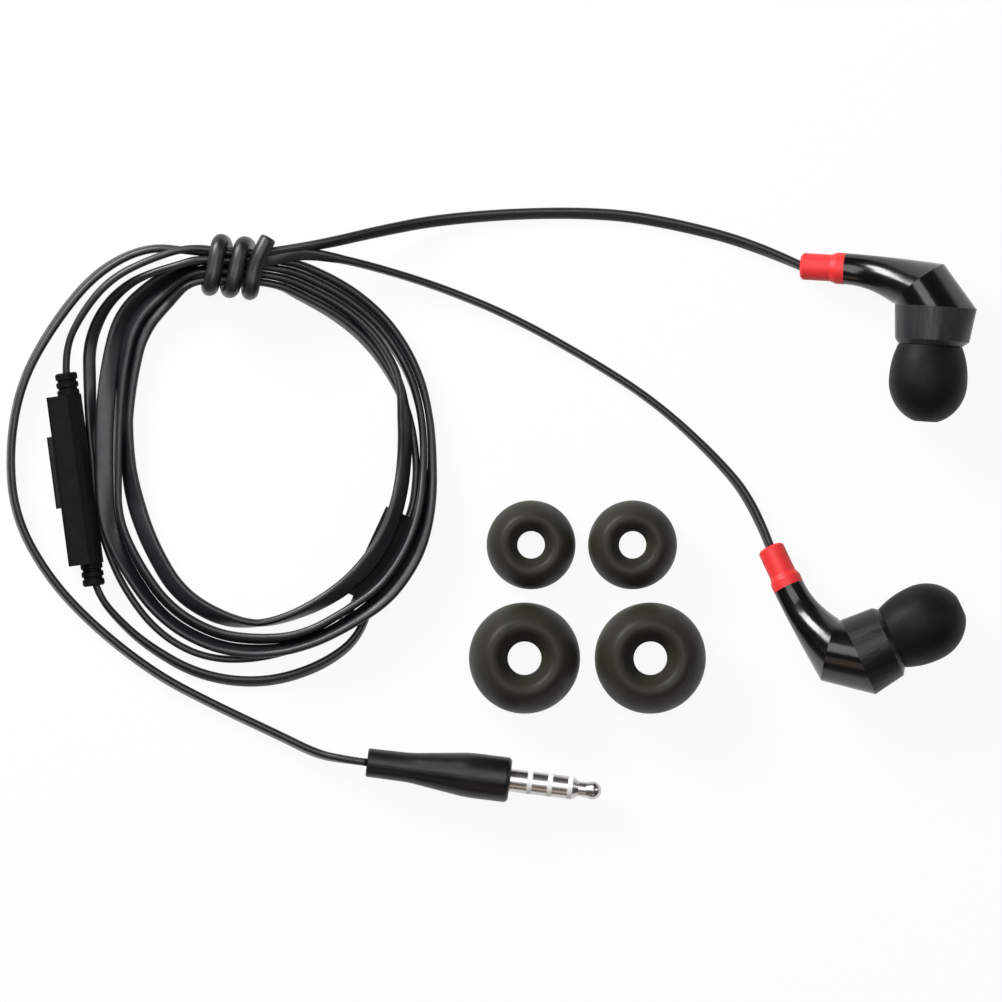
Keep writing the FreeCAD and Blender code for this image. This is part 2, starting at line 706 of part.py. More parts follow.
def bud(side, origin, x_axis, z_axis):
    place = axes(origin, x_axis, z_axis)
    feature(side + "_rear_housing", rear_housing(), place)
    feature(side + "_front_housing", front_housing(), place)
    basket_floor = driver_back + S["basket_wall"]
    turned(side + "_driver_basket", [
        (S["yoke_radius"], driver_back),
        (S["driver_radius"], driver_back),
        (S["driver_radius"], cavity_end),
        (S["driver_radius"] - S["basket_wall"], cavity_end),
        (S["driver_radius"] - S["basket_wall"], basket_floor),
        (S["yoke_radius"], basket_floor),
    ], place)
    magnet_back = driver_back + S["yoke_wall"]
    pole_back = magnet_back + S["magnet_thick"]
    pole_front = pole_back + S["pole_thick"]
    turned(side + "_driver_yoke", [
        (0, driver_back),
        (S["yoke_radius"], driver_back),
        (S["yoke_radius"], pole_front),
        (S["yoke_radius"] - S["yoke_wall"], pole_front),
        (S["yoke_radius"] - S["yoke_wall"], magnet_back),
        (0, magnet_back),
    ], place)
    turned(side + "_driver_magnet", rectangle(ZERO, magnet_back, S["magnet_radius"], pole_back), place)
    turned(side + "_driver_top_plate", rectangle(ZERO, pole_back, S["magnet_radius"], pole_front), place)
    film_back = pole_front + S["film_stroke"] * 2
    half_wall = S["coil_wall"] * 0.5
    turned(side + "_voice_coil", rectangle(
        S["coil_radius"] - half_wall, film_back - S["coil_depth"],
        S["coil_radius"] + half_wall, film_back), place)
    rim = S["driver_radius"] - S["basket_wall"] - S["basket_fit"]
    dome_foot = S["coil_radius"] + half_wall
    dome_top = film_back + S["film_dome"]
    slope = dome_foot * SLOPE_SHARE
    slope_height = dome_top - S["film_dome"] * SLOPE_DROP_SHARE
    film = S["film_thick"]
    turned(side + "_diaphragm", [
        (0, dome_top),
        (dome_foot * FLAT_SHARE, dome_top),
        (slope, slope_height),
        (dome_foot, film_back),
        (rim, film_back),
        (rim, film_back + film),
        (dome_foot, film_back + film),
        (slope + film, slope_height + film),
        (dome_foot * FLAT_SHARE, dome_top + film),
        (0, dome_top + film),
    ], place)
    board_back = driver_back - S["terminal_thick"]
    board_radius = S["yoke_radius"] - S["terminal_inset"]
    turned(side + "_terminal_board", rectangle(ZERO, board_back, board_radius, driver_back), place)
    damper_top = front_face + S["damper_thick"]
    turned(side + "_vent_damper", rectangle(ZERO, front_face, S["nozzle_bore"], damper_top), place)
    mesh_top = nozzle_end - S["mesh_recess"]
    mesh_foot = mesh_top - S["mesh_thick"]
    turned(side + "_nozzle_mesh", rectangle(ZERO, mesh_foot, S["nozzle_bore"], mesh_top), place)
    turned(side + "_ear_tip", ear_tip_outline(), place)
    stem_tip = V["stem_end"] + V["boot_length"]
    outward = axes(place.multVec(Vector(-V["stem_end"], 0, -V["stem_back"])), z_axis, Vector(x_axis) * -1)
    tenon = S["stem_radius"] - S["housing_wall"] - S["boot_fit"]
    turned(side + "_cable_boot", [
        (S["wire_radius"], -S["boot_tenon_length"]),
        (tenon, -S["boot_tenon_length"]),
        (tenon, 0),
        (S["boot_flange_radius"], 0),
        (S["boot_flange_radius"], S["boot_flange_length"]),
        (S["boot_radius"], S["boot_taper_end"]),
        (S["boot_radius"], S["boot_length"] - S["boot_edge"]),
        (S["boot_radius"] - S["boot_edge"], S["boot_length"]),
        (S["wire_radius"], S["boot_length"]),
    ], outward)
    clip_start = -S["boot_tenon_length"] - S["clip_gap"]
    turned(side + "_cable_clip", rectangle(
        S["wire_radius"], clip_start - S["clip_length"], S["clip_radius"], clip_start), outward)
    back = -V["stem_back"]
    route = [(WIRE_FOOT, board_back.amount)] + WIRE_BENDS + [(WIRE_STRAIGHT, back), (-stem_tip, back)]
    path, radii = run_path([Vector(spot_x, 0, spot_z) for spot_x, spot_z in route])
    spot, heading = start_of(path)
    wires = along(path, round_section(spot, heading, 2 * V["wire_radius"]))
    report_tube(side + "_driver_wires", wires, path, math.pi * V["wire_radius"] ** 2, radii)
    feature(side + "_driver_wires", wires, place)
    return place.multVec(Vector(-stem_tip, 0, back))


ROLL = math.radians(10)
LEFT_NOZZLE = Vector(-0.063, -0.998, 0)
RIGHT_NOZZLE = Vector(0.907, 0.421, 0)
LEFT_KEEL = Vector(0.998, -0.063, 0)
RIGHT_KEEL = Vector(0.421, -0.907, 0)
rolled_left = LEFT_KEEL * math.cos(ROLL) + Vector(0, 0, math.sin(ROLL))
rolled_right = RIGHT_KEEL * math.cos(ROLL) + Vector(0, 0, math.sin(ROLL))
left_origin = Vector(V["left_bud_x"], V["left_bud_y"], V["bud_height"])
right_origin = Vector(V["right_bud_x"], V["right_bud_y"], V["bud_height"])
left_exit = bud("left", left_origin, rolled_left, LEFT_NOZZLE)
right_exit = bud("right", right_origin, rolled_right, RIGHT_NOZZLE)
print("cord exits", left_exit, right_exit)

for kind in ("small", "large"):
    outline = spare_tip_outline(S[kind + "_radius"], S[kind + "_length"], S[kind + "_bore"])
    for side in ("left", "right"):
        spot = Vector(V[kind + "_" + side + "_x"], V[kind + "_tips_y"], 0)
        label = "spare_tip_" + kind + "_" + side
        turned(label, outline, FreeCAD.Placement(spot, FreeCAD.Rotation()))


# Plug. Local Z runs from the cord to the nose of the pin.
PLUG_AXIS = Vector(0.9923, -0.1236, 0)
plug_base = Vector(V["plug_x"], V["plug_y"], V["plug_body_radius"])
plug_place = axes(plug_base, Vector(0, 0, 1), PLUG_AXIS)
sleeve_root = S["plug_length"] - S["pin_root"]
rod_end = S["plug_length"] - S["rod_root"]
flare_start = S["plug_grip_length"]
wide = S["plug_body_radius"]
ease_end = flare_start + S["plug_ease_length"]
turned("plug_moulding", [
    (0, 0),
    (S["plug_cord_radius"] - S["plug_cord_edge"], 0),
    (S["plug_cord_radius"], S["plug_cord_edge_length"]),
    (S["plug_waist_radius"], flare_start),
    (S["plug_waist_radius"] + S["plug_ease_rise"], ease_end, S["plug_ease_bend"], -1),
    (wide - S["plug_ease_rise"], S["plug_flare_end"] - S["plug_ease_length"]),
    (wide, S["plug_flare_end"], S["plug_ease_bend"], 1),
    (wide, S["plug_length"] - S["plug_edge"]),
    (wide - S["plug_edge"], S["plug_length"], S["plug_edge"], 1),
    (S["pin_root_radius"], S["plug_length"]),
    (S["pin_root_radius"], sleeve_root),
    (S["rod_cover_radius"], sleeve_root),
    (S["rod_cover_radius"], rod_end),
    (0, rod_end),
], plug_place)
bands = []
reach = S["plug_length"] + S["pin_sleeve"]
turned("plug_sleeve_contact", [
    (S["rod_cover_radius"], sleeve_root),
    (S["pin_root_radius"], sleeve_root),
    (S["pin_root_radius"], S["plug_length"]),
    (S["pin_radius"], S["plug_length"]),
    (S["pin_radius"], reach),
    (S["rod_cover_radius"], reach),
], plug_place)
for label in ("plug_second_ring_contact", "plug_first_ring_contact"):
    bands.append(reach)
    start = reach + S["pin_band"]
    reach = start + S["pin_ring"]
    turned(label, rectangle(S["rod_cover_radius"], start, S["pin_radius"], reach), plug_place)
bands.append(reach)
tip_start = reach + S["pin_band"]
insulation = rectangle(S["rod_radius"], rod_end, S["rod_cover_radius"], tip_start)
turned("plug_rod_insulation", insulation, plug_place)
nose = tip_start + S["pin_tip"]
turned("plug_tip_contact", [
    (0, rod_end),
    (S["rod_radius"], rod_end),
    (S["rod_radius"], tip_start),
    (S["pin_radius"], tip_start),
    (S["pin_neck_radius"], tip_start + S["pin_neck_start"]),
    (S["pin_neck_radius"], tip_start + S["pin_neck_end"]),
    (S["pin_head_radius"], tip_start + S["pin_head_place"]),
    (S["pin_nose_radius"], nose, S["pin_nose_bend"], 1),
    (0, nose),
], plug_place)
rings = []
for start in bands:
    foot = Vector(0, 0, start.amount)
    outer = Part.makeCylinder(V["pin_radius"], V["pin_band"], foot)
    rings.append(outer.cut(Part.makeCylinder(V["rod_cover_radius"], V["pin_band"], foot)))
feature("plug_insulating_bands", Part.makeCompound(rings), plug_place)


# Remote, lying on its side. Local Y runs along the lead to the bud, X away from the button face.
REMOTE_TILT = 7.6
SLOT_OVERRUN = 0.1
half_depth = S["remote_depth"] * 0.5
front = -half_depth
back = half_depth
seam = front + S["remote_seam"]
top = S["remote_height"]
wall = S["remote_wall"]
bevel = S["remote_bevel"]
middle_height = S["remote_height"] * 0.5
remote_turn = FreeCAD.Rotation(Vector(0, 0, 1), REMOTE_TILT)
remote_place = FreeCAD.Placement(Vector(V["remote_x"], V["remote_y"], 0), remote_turn)
inside = S["remote_length"] - wall * 2
slot_length = S["button_length"] + S["button_clearance"] * 2
slot_height = S["button_height"] + S["button_clearance"] * 2


def end_holes(body):
    sketch = sketch_on(body, "XZ_Plane", "end_holes")
    add_circle(sketch, S["collar_offset"], middle_height, S["collar_tenon_radius"])
    cut = body.newObject("PartDesign::Pocket", body.Name + "_end_holes_cut")
    cut.Profile = sketch
    cut.Midplane = True
    bind(cut, Length=S["remote_length"] + 2 * OVERRUN)
    body.Tip = cut


front_shell = extruded("remote_front_shell", [
    (front + S["remote_edge"], 0),
    (seam, 0),
    (seam, top),
    (front + S["remote_edge"], top),
    (front, top - S["remote_edge"]),
    (front, S["remote_edge"]),
], S["remote_length"], remote_place)
pocket(front_shell, "hollow", rectangle(front + wall, wall, seam + OVERRUN, top - wall), inside)
slot_low = middle_height - slot_height * 0.5
slot_high = middle_height + slot_height * 0.5
slot = rectangle(front - OVERRUN, slot_low, front + wall + SLOT_OVERRUN, slot_high)
pocket(front_shell, "slot", slot, slot_length, S["button_place"])
end_holes(front_shell)

rear_shell = extruded("remote_rear_shell", [
    (seam, 0),
    (back - bevel, 0),
    (back, bevel),
    (back, top - S["facet_low"]),
    (S["facet_end"], top - S["facet_drop"]),
    (S["facet_start"], top),
    (seam, top),
], S["remote_length"], remote_place)
pocket(rear_shell, "hollow", [
    (seam - OVERRUN, wall),
    (back - bevel, wall),
    (back - wall, bevel),
    (back - wall, top - S["facet_low"] - S["facet_low_wall"]),
    (S["facet_end"] - S["facet_end_wall"], top - wall - S["facet_drop_wall"]),
    (S["facet_start"], top - wall),
    (seam - OVERRUN, top - wall),
], inside)
end_holes(rear_shell)
sound_hole = sketch_on(rear_shell, "YZ_Plane", "sound_hole")
add_circle(sound_hole, S["microphone_place"], S["microphone_height"], S["microphone_hole"])
doc.recompute()
before = rear_shell.Shape.Volume
drill = rear_shell.newObject("PartDesign::Pocket", "Rear_shell_sound_hole_cut")
drill.Profile = sound_hole
drill.Reversed = True
bind(drill, Length=back + OVERRUN)
rear_shell.Tip = drill
doc.recompute()
if rear_shell.Shape.Volume >= before:
    raise RuntimeError("the sound hole cuts nothing")

flange_back = front + wall + S["button_flange_thick"]
flange_low = slot_low - S["button_flange"]
flange_high = slot_high + S["button_flange"]
key_low = middle_height - S["button_height"] * 0.5
key_high = middle_height + S["button_height"] * 0.5
proud = front - S["button_proud"]
key_end = front + wall + S["button_overlap"]
key_edge = S["button_edge"]
button = extruded("remote_button", [
    (proud + key_edge, key_low),
    (key_end, key_low),
    (key_end, key_high),
    (proud + key_edge, key_high),
    (proud, key_high - key_edge),
    (proud, key_low + key_edge),
], S["button_length"], remote_place, S["button_place"])
flange_sketch = sketch_on(button, "XZ_Plane", "flange")
shift_along(flange_sketch, S["button_place"])
draw(flange_sketch, rectangle(front + wall, flange_low, flange_back, flange_high))
flange = button.newObject("PartDesign::Pad", "Button_flange")
flange.Profile = flange_sketch
flange.Midplane = True
bind(flange, Length=slot_length + S["button_flange"] * 2)
button.Tip = flange

board_front = seam + S["board_gap"]
board_back = board_front + S["board_thick"]
board_outline = rectangle(board_front, wall, board_back, top - wall)
extruded("remote_circuit_board", board_outline, S["board_length"], remote_place)


# Turned pieces whose axis lies across the remote
def across(spot_x, spot_y, height=middle_height.amount):
    spot = remote_place.multVec(Vector(spot_x, spot_y, height))
    return axes(spot, Vector(0, 0, 1), remote_place.Rotation.multVec(Vector(1, 0, 0)))


SWITCH_TOP_SHARE = 0.5
switch_room = board_front - flange_back - S["button_travel"] - S["switch_gap"]
turned("remote_dome_switch", [
    (0, -switch_room),
    (S["switch_radius"] * SWITCH_TOP_SHARE, -switch_room),
    (S["switch_radius"], -S["switch_edge"]),
    (S["switch_radius"], 0),
    (0, 0),
], across(board_front.amount, V["button_place"]))
capsule_front = back - wall - board_back - S["mesh_sheet"]
capsule_shoulder = capsule_front - S["microphone_snout"]
turned("remote_microphone", [
    (0, 0),
    (S["microphone_radius"], 0),
    (S["microphone_radius"], capsule_shoulder),
    (S["microphone_mesh"], capsule_shoulder),
    (S["microphone_mesh"], capsule_front),
    (0, capsule_front),
], across(board_back.amount, V["microphone_place"], V["microphone_height"]))
turned("remote_microphone_mesh", rectangle(ZERO, ZERO, S["microphone_mesh"], S["mesh_sheet"]),
       across((board_back + capsule_front).amount, V["microphone_place"], V["microphone_height"]))


# A ribbed collar, its local Z out of the remote
GROOVE_SHARES = (0.25, 0.6)


def collar(label, spot_y, direction):
    spot = remote_place.multVec(Vector(V["collar_offset"], spot_y, middle_height.amount))
    place = axes(spot, Vector(0, 0, 1), remote_place.Rotation.multVec(Vector(0, direction, 0)))
    radius = S["collar_radius"]
    floor = radius - S["collar_groove"]
    slope = S["collar_groove_slope"]
    length = S["collar_length"]
    tenon = S["collar_tenon_radius"]
    outline = [(0, -wall), (tenon, -wall), (tenon, 0), (radius, 0)]
    for share in GROOVE_SHARES:
        start = length * share
        end = start + S["collar_groove_width"]
        outline += [(radius, start - slope), (floor, start), (floor, end), (radius, end + slope)]
    outline += [(radius, length - S["collar_edge"]), (radius - S["collar_edge"], length), (0, length)]
    turned(label, outline, place)
    return place.multVec(Vector(0, 0, V["collar_length"])), place.Rotation.multVec(Vector(0, 0, 1))


upper_exit, upper_heading = collar("remote_upper_collar", V["remote_length"] / 2, 1)
lower_exit, lower_heading = collar("remote_lower_collar", -V["remote_length"] / 2, -1)
print("remote exits", upper_exit, upper_heading, lower_exit, lower_heading)


# Cable splitter, a bevelled block on the surface, its local Y against the main cord's run
splitter_top = Vector(V["splitter_x"], V["splitter_y"], 0)
splitter_heading = Vector(-0.42, -0.9075, 0).normalize()
splitter_middle = splitter_top + splitter_heading * (V["splitter_length"] / 2)
splitter_turn = math.degrees(math.atan2(splitter_heading.x, -splitter_heading.y))
splitter_place = FreeCAD.Placement(splitter_middle, FreeCAD.Rotation(Vector(0, 0, 1), splitter_turn))
half = S["splitter_width"] * 0.5
chamfer = S["splitter_chamfer"]
high = S["splitter_height"]
extruded("cable_splitter", [
    (chamfer - half, 0),
    (half - chamfer, 0),
    (half, chamfer),
    (half, high - chamfer),
    (half - chamfer, high),
    (chamfer - half, high),
    (-half, high - chamfer),
    (-half, chamfer),
], S["splitter_length"], splitter_place)


# The bundle at the tie: bottom layer of four main strands, top layer of two leads.
# s runs along the bundle to the right, n across it to the outside of the coil.
tie_middle = Vector(V["tie_x"], V["tie_y"], 0)
along_tie = Vector(0.9945, -0.1045, 0).normalize()
across_tie = Vector(0, 0, 1).cross(along_tie)
pitch = V["main_cord_thick"] + V["strand_gap"]
strand_height = V["tie_diameter"] + V["tie_clearance"] + V["main_cord_width"] / 2
floor_height = V["main_cord_width"] / 2
lead_floor = V["lead_width"] / 2
lead_high = strand_height + V["main_cord_width"] / 2 + V["strand_gap"] + V["lead_width"] / 2
HALF_TIE_RUN = 6.6


def at_tie(s, n, height):
    spot = tie_middle + along_tie * s + across_tie * n
    return Vector(spot.x, spot.y, height)


# Coil: passes 0 to 2 run all round, each a pitch inside the one before, and pass 3 ends in the splitter
COIL_TURNS = 3
COIL_APART = 20
TIE_APART = 12
SPLITTER_SEAT = 0.03
APPROACH = Vector(-49.7, 9.0, floor_height + SPLITTER_SEAT)
APPROACH_HEADING = Vector(0.03, -1, 0)
RIGHT = Vector(-44.6, 8.0, 0)
BOTTOM = Vector(-70.4, -27.5, 0)
LEFT = Vector(-92.6, -2.7, 0)
LEFT_TOP = Vector(-92.6, 19.5, 2.7)
stations = []
for turn in range(COIL_TURNS):
    inward = turn * pitch
    n = (1.5 - turn) * pitch
    begin = -HALF_TIE_RUN - (V["main_cord_width"] if turn == 0 else 0)
    stations.append((at_tie(begin, n, strand_height), along_tie))
    stations.append((at_tie(HALF_TIE_RUN, n, strand_height), along_tie))
    stations.append((RIGHT + Vector(-inward, 0, V["coil_lift"]), Vector(0, -1, 0)))
    stations.append((BOTTOM + Vector(0, inward, V["coil_lift"]), Vector(-1, 0, 0)))
    stations.append((LEFT + Vector(inward, 0, floor_height), Vector(0, 1, 0)))
    stations.append((LEFT_TOP + Vector(inward, 0, 0), Vector(0, 1, 0)))
last = (1.5 - COIL_TURNS) * pitch
stations.append((at_tie(-HALF_TIE_RUN, last, strand_height), along_tie))
stations.append((at_tie(HALF_TIE_RUN, last, strand_height), along_tie))
splitter_entry = Vector(splitter_top.x, splitter_top.y, floor_height + SPLITTER_SEAT)
stations.append((APPROACH, APPROACH_HEADING))
stations.append((splitter_entry - splitter_heading * V["main_cord_width"], splitter_heading))
stations.append((splitter_entry, splitter_heading))
coil_path = wound_path(stations)
coil_start, coil_heading = stations[0]
main = (V["main_cord_width"], V["main_cord_thick"])
lead = (V["lead_width"], V["lead_thick"])
coil_area = flat_area(*main)
coil_form = along(coil_path, flat_section(coil_start, coil_heading, *main))
feature("main_cable_coil", coil_form)
report_tube("main_cable_coil", coil_form, coil_path, coil_area, None)
print("   least gap of the coil to itself %.2f" % least_gap(coil_path, *main, COIL_APART))

# Tie: a round cord wound round the bundle, as straight sides and four corners in each wrap
bundle_half = 1.5 * pitch + V["main_cord_thick"] / 2
tie_half_width = bundle_half + V["tie_clearance"] + V["tie_diameter"] / 2
tie_low = V["tie_diameter"] / 2
tie_high = lead_high + lead_floor + V["tie_clearance"] + V["tie_diameter"] / 2
corner = V["tie_corner"]
TIE_WRAPS = 3
TIE_START = 5.0
tie_stations = []
s = TIE_START
for wrap in range(TIE_WRAPS):
    slant = V["tie_slant"]
    rest = V["tie_pitch"] - slant
    side = tie_half_width - corner
    down = -across_tie * (2 * side) - along_tie * slant
    up = across_tie * (2 * side) - along_tie * rest
    stub = V["tie_stub"] if wrap == 0 else 0
    first = at_tie(s, side, tie_high)
    tie_stations.append((first - Vector(down).normalize() * stub, down))
    tie_stations.append((at_tie(s - slant, -side, tie_high), down))
    tie_stations.append((at_tie(s - slant, -tie_half_width, tie_high - corner), Vector(0, 0, -1)))
    tie_stations.append((at_tie(s - slant, -tie_half_width, tie_low + corner), Vector(0, 0, -1)))
    tie_stations.append((at_tie(s - slant, -side, tie_low), up))
    tie_stations.append((at_tie(s - V["tie_pitch"], side, tie_low), up))
    if wrap < TIE_WRAPS - 1:
        tie_stations.append((at_tie(s - V["tie_pitch"], tie_half_width, tie_low + corner), Vector(0, 0, 1)))
        tie_stations.append((at_tie(s - V["tie_pitch"], tie_half_width, tie_high - corner), Vector(0, 0, 1)))
    s -= V["tie_pitch"]
tie_path = wound_path(tie_stations)
tie_start, tie_heading = start_of(tie_path)
tie_form = along(tie_path, round_section(tie_start, tie_heading, V["tie_diameter"]))
feature("cable_tie", tie_form)
report_tube("cable_tie", tie_form, tie_path, math.pi * V["tie_diameter"] ** 2 / 4, None)
round_tie = (V["tie_diameter"], V["tie_diameter"])
print("   least gap of the tie to itself %.2f" % least_gap(tie_path, *round_tie, TIE_APART))

# Free stretches: routes chosen point by point
plug_exit = plug_place.Base
tail_end = stations[0][0]
tail_low = floor_height
cord_tube("main_cable_tail", [
    tuple(plug_exit),
    (-60.0, -42.1, 2.6),
    (-67.5, -38.3, tail_low),
    (-77.5, -34.4, tail_low),
    (-86.6, -29.5, tail_low),
    (-96.0, -22.7, tail_low),
    (-102.9, -14.6, tail_low),
    (-107.6, -5.1, tail_low),
    (-109.4, 5.3, tail_low),
    (-107.0, 15.9, tail_low),
    (-101.6, 25.2, tail_low),
    (-95.4, 32.2, 1.9),
    (-88.0, 36.4, 3.6),
    tuple(tail_end),
], *main)

splitter_foot = splitter_top + splitter_heading * V["splitter_length"]
splitter_side = Vector(0, 0, 1).cross(splitter_heading)
spread = V["lead_spacing"] / 2
remote_lead_start = splitter_foot + splitter_side * spread
bud_lead_start = splitter_foot - splitter_side * spread
cord_tube("left_lead_lower", [
    (remote_lead_start.x, remote_lead_start.y, lead_floor),
    (-55.9, -23.8, lead_floor),
    (-61.5, -29.0, lead_floor),
    (-70.3, -31.3, lead_floor),
    (-80.0, -29.9, lead_floor),
    (-88.3, -25.4, lead_floor),
    (-94.4, -20.9, 1.9),
    tuple(lower_exit),
], *lead)
cord_tube("right_lead", [
    (bud_lead_start.x, bud_lead_start.y, lead_floor),
    (-58.2, -23.2, lead_floor),
    (-63.6, -27.8, lead_floor),
    (-71.5, -29.6, lead_floor),
    (-80.0, -27.8, lead_floor),
    (-87.0, -23.0, lead_floor),
    (-91.8, -16.0, lead_floor),
    (-94.1, -7.0, lead_floor),
    (-94.6, 4.5, lead_floor),
    (-94.4, 14.5, 1.8),
    (-94.0, 23.3, 3.8),
    (-91.2, 30.2, 5.8),
    (-86.8, 33.9, 7.1),
    tuple(at_tie(-6.8, 0.0, lead_high)),
    tuple(at_tie(6.8, 0.0, lead_high)),
    (-59.5, 33.3, lead_high),
    (-51.5, 32.4, 4.6),
    (-42.6, 29.6, 1.5),
    (-32.5, 25.6, lead_floor),
    (-21.0, 19.3, lead_floor),
    (-10.5, 12.4, lead_floor),
    (-1.6, 3.9, lead_floor),
    (4.1, -3.2, 1.2),
    tuple(right_exit),
], *lead)
cord_tube("left_lead_upper", [
    tuple(upper_exit),
    (-101.0, 21.4, 3.2),
    (-98.0, 27.2, 4.6),
    (-93.6, 32.2, 6.4),
    (-87.9, 35.7, 7.2),
    tuple(at_tie(-6.8, 1.6, lead_high)),
    tuple(at_tie(6.8, 1.6, lead_high)),
    (-61.0, 36.0, lead_high),
    (-53.0, 38.4, 4.4),
    (-43.5, 40.4, 1.4),
    (-32.0, 41.4, lead_floor),
    (-19.0, 41.4, lead_floor),
    (-7.0, 38.9, lead_floor),
    (3.0, 34.9, 1.1),
    tuple(left_exit),
], *lead)


# Check every object before anything is written
doc.recompute()
for thing in doc.Objects:
    if "Invalid" in thing.State or "Error" in thing.State:
        raise RuntimeError("%s did not build: %s" % (thing.Label, thing.State))
for node in nodes:
    if node.Shape.isNull() or not node.Shape.isValid():
        raise RuntimeError("%s has no valid shape" % node.Label)
for node in nodes:
    node.Shape.exportStep("parts/%s.step" % node.Label)
print("%d pieces" % len(nodes))
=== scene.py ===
import math

import bpy
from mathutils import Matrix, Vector


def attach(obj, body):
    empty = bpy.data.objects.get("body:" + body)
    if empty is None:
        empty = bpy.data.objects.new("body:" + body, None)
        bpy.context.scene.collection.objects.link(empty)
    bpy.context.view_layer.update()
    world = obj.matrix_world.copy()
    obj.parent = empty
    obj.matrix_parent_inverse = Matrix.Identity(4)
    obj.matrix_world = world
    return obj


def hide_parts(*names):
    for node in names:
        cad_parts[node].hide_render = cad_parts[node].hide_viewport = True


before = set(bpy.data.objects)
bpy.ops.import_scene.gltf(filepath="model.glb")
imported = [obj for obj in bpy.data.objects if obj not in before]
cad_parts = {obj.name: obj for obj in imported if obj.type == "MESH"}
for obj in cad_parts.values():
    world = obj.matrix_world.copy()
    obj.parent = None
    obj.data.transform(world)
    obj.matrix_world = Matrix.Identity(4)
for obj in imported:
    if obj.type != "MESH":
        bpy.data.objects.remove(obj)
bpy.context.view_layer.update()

# Lengths below are in millimetres, as on the drawing; mm() turns them into metres.
MM = 0.001
UP = Vector((0, 0, 1))
scene = bpy.context.scene
scene.view_settings.view_transform = "Standard"


def mm(*point):
    return Vector(point) * MM


# Camera: straight above the flat lay, its frame 153 mm wide on the surface
PICTURE_WIDTH = 153.0
PICTURE_CENTRE = (-33.9, -2.9)
CAMERA_HEIGHT = 1500.0
MEAN_HEIGHT = 3.0
SENSOR_WIDTH = 36
NEAREST_SEEN = 10
FARTHEST_SEEN = 10000
camera_data = bpy.data.cameras.new("camera")
camera_data.sensor_width = SENSOR_WIDTH
camera_data.lens = SENSOR_WIDTH * (CAMERA_HEIGHT - MEAN_HEIGHT) / PICTURE_WIDTH
camera_data.clip_start = NEAREST_SEEN * MM
camera_data.clip_end = FARTHEST_SEEN * MM
camera = bpy.data.objects.new("camera", camera_data)
camera.location = mm(PICTURE_CENTRE[0], PICTURE_CENTRE[1], CAMERA_HEIGHT)
scene.collection.objects.link(camera)
scene.camera = camera


# Soft lights: name, place, aim, width, height, power in watts and colour
NEUTRAL = (1, 1, 1)
WARM = (1.0, 0.80, 0.64)
SOFT_LIGHTS = [
    ("key_soft", (-60, 70, 600), (-34, -3, 0), 460, 460, 1.85, NEUTRAL),
    ("north_west_soft", (-420, 400, 330), (-20, -5, 0), 360, 240, 5.6, NEUTRAL),
    ("east_strip", (460, 60, 300), (-20, 0, 0), 60, 300, 0.35, NEUTRAL),
    ("south_card", (-40, -520, 330), (-20, -20, 0), 520, 240, 0.26, WARM)]


def area_light(name, spot, aim, size_x, size_y, power, colour):
    data = bpy.data.lights.new(name, "AREA")
    data.shape = "RECTANGLE"
    data.size = size_x * MM
    data.size_y = size_y * MM
    data.energy = power
    data.color = colour
    lamp = bpy.data.objects.new(name, data)
    lamp.location = mm(*spot)
    direction = mm(*aim) - mm(*spot)
    lamp.rotation_euler = direction.to_track_quat("-Z", "Y").to_euler()
    scene.collection.objects.link(lamp)


for light in SOFT_LIGHTS:
    area_light(*light)

# The world is white to the camera and a faint fill light to everything else
WHITE = (1, 1, 1, 1)
FILL_STRENGTH = 0.05
SEEN_STRENGTH = 1.0
world = bpy.data.worlds.new("studio")
scene.world = world
world.use_nodes = True
nodes = world.node_tree.nodes
links = world.node_tree.links
nodes.clear()
ray = nodes.new("ShaderNodeLightPath")
dim = nodes.new("ShaderNodeBackground")
dim.inputs["Color"].default_value = WHITE
dim.inputs["Strength"].default_value = FILL_STRENGTH
bright = nodes.new("ShaderNodeBackground")
bright.inputs["Color"].default_value = WHITE
bright.inputs["Strength"].default_value = SEEN_STRENGTH
blend = nodes.new("ShaderNodeMixShader")
output = nodes.new("ShaderNodeOutputWorld")
links.new(ray.outputs["Is Camera Ray"], blend.inputs["Fac"])
links.new(dim.outputs["Background"], blend.inputs[1])
links.new(bright.outputs["Background"], blend.inputs[2])
links.new(blend.outputs["Shader"], output.inputs["Surface"])


# The floor glows white for camera, glossy and transmission rays, over a matte share that takes shadows
GLOW_SHARE = 0.90
GLOW_STRENGTH = 1.02
FLOOR_TONE = (0.60, 0.60, 0.60, 1)


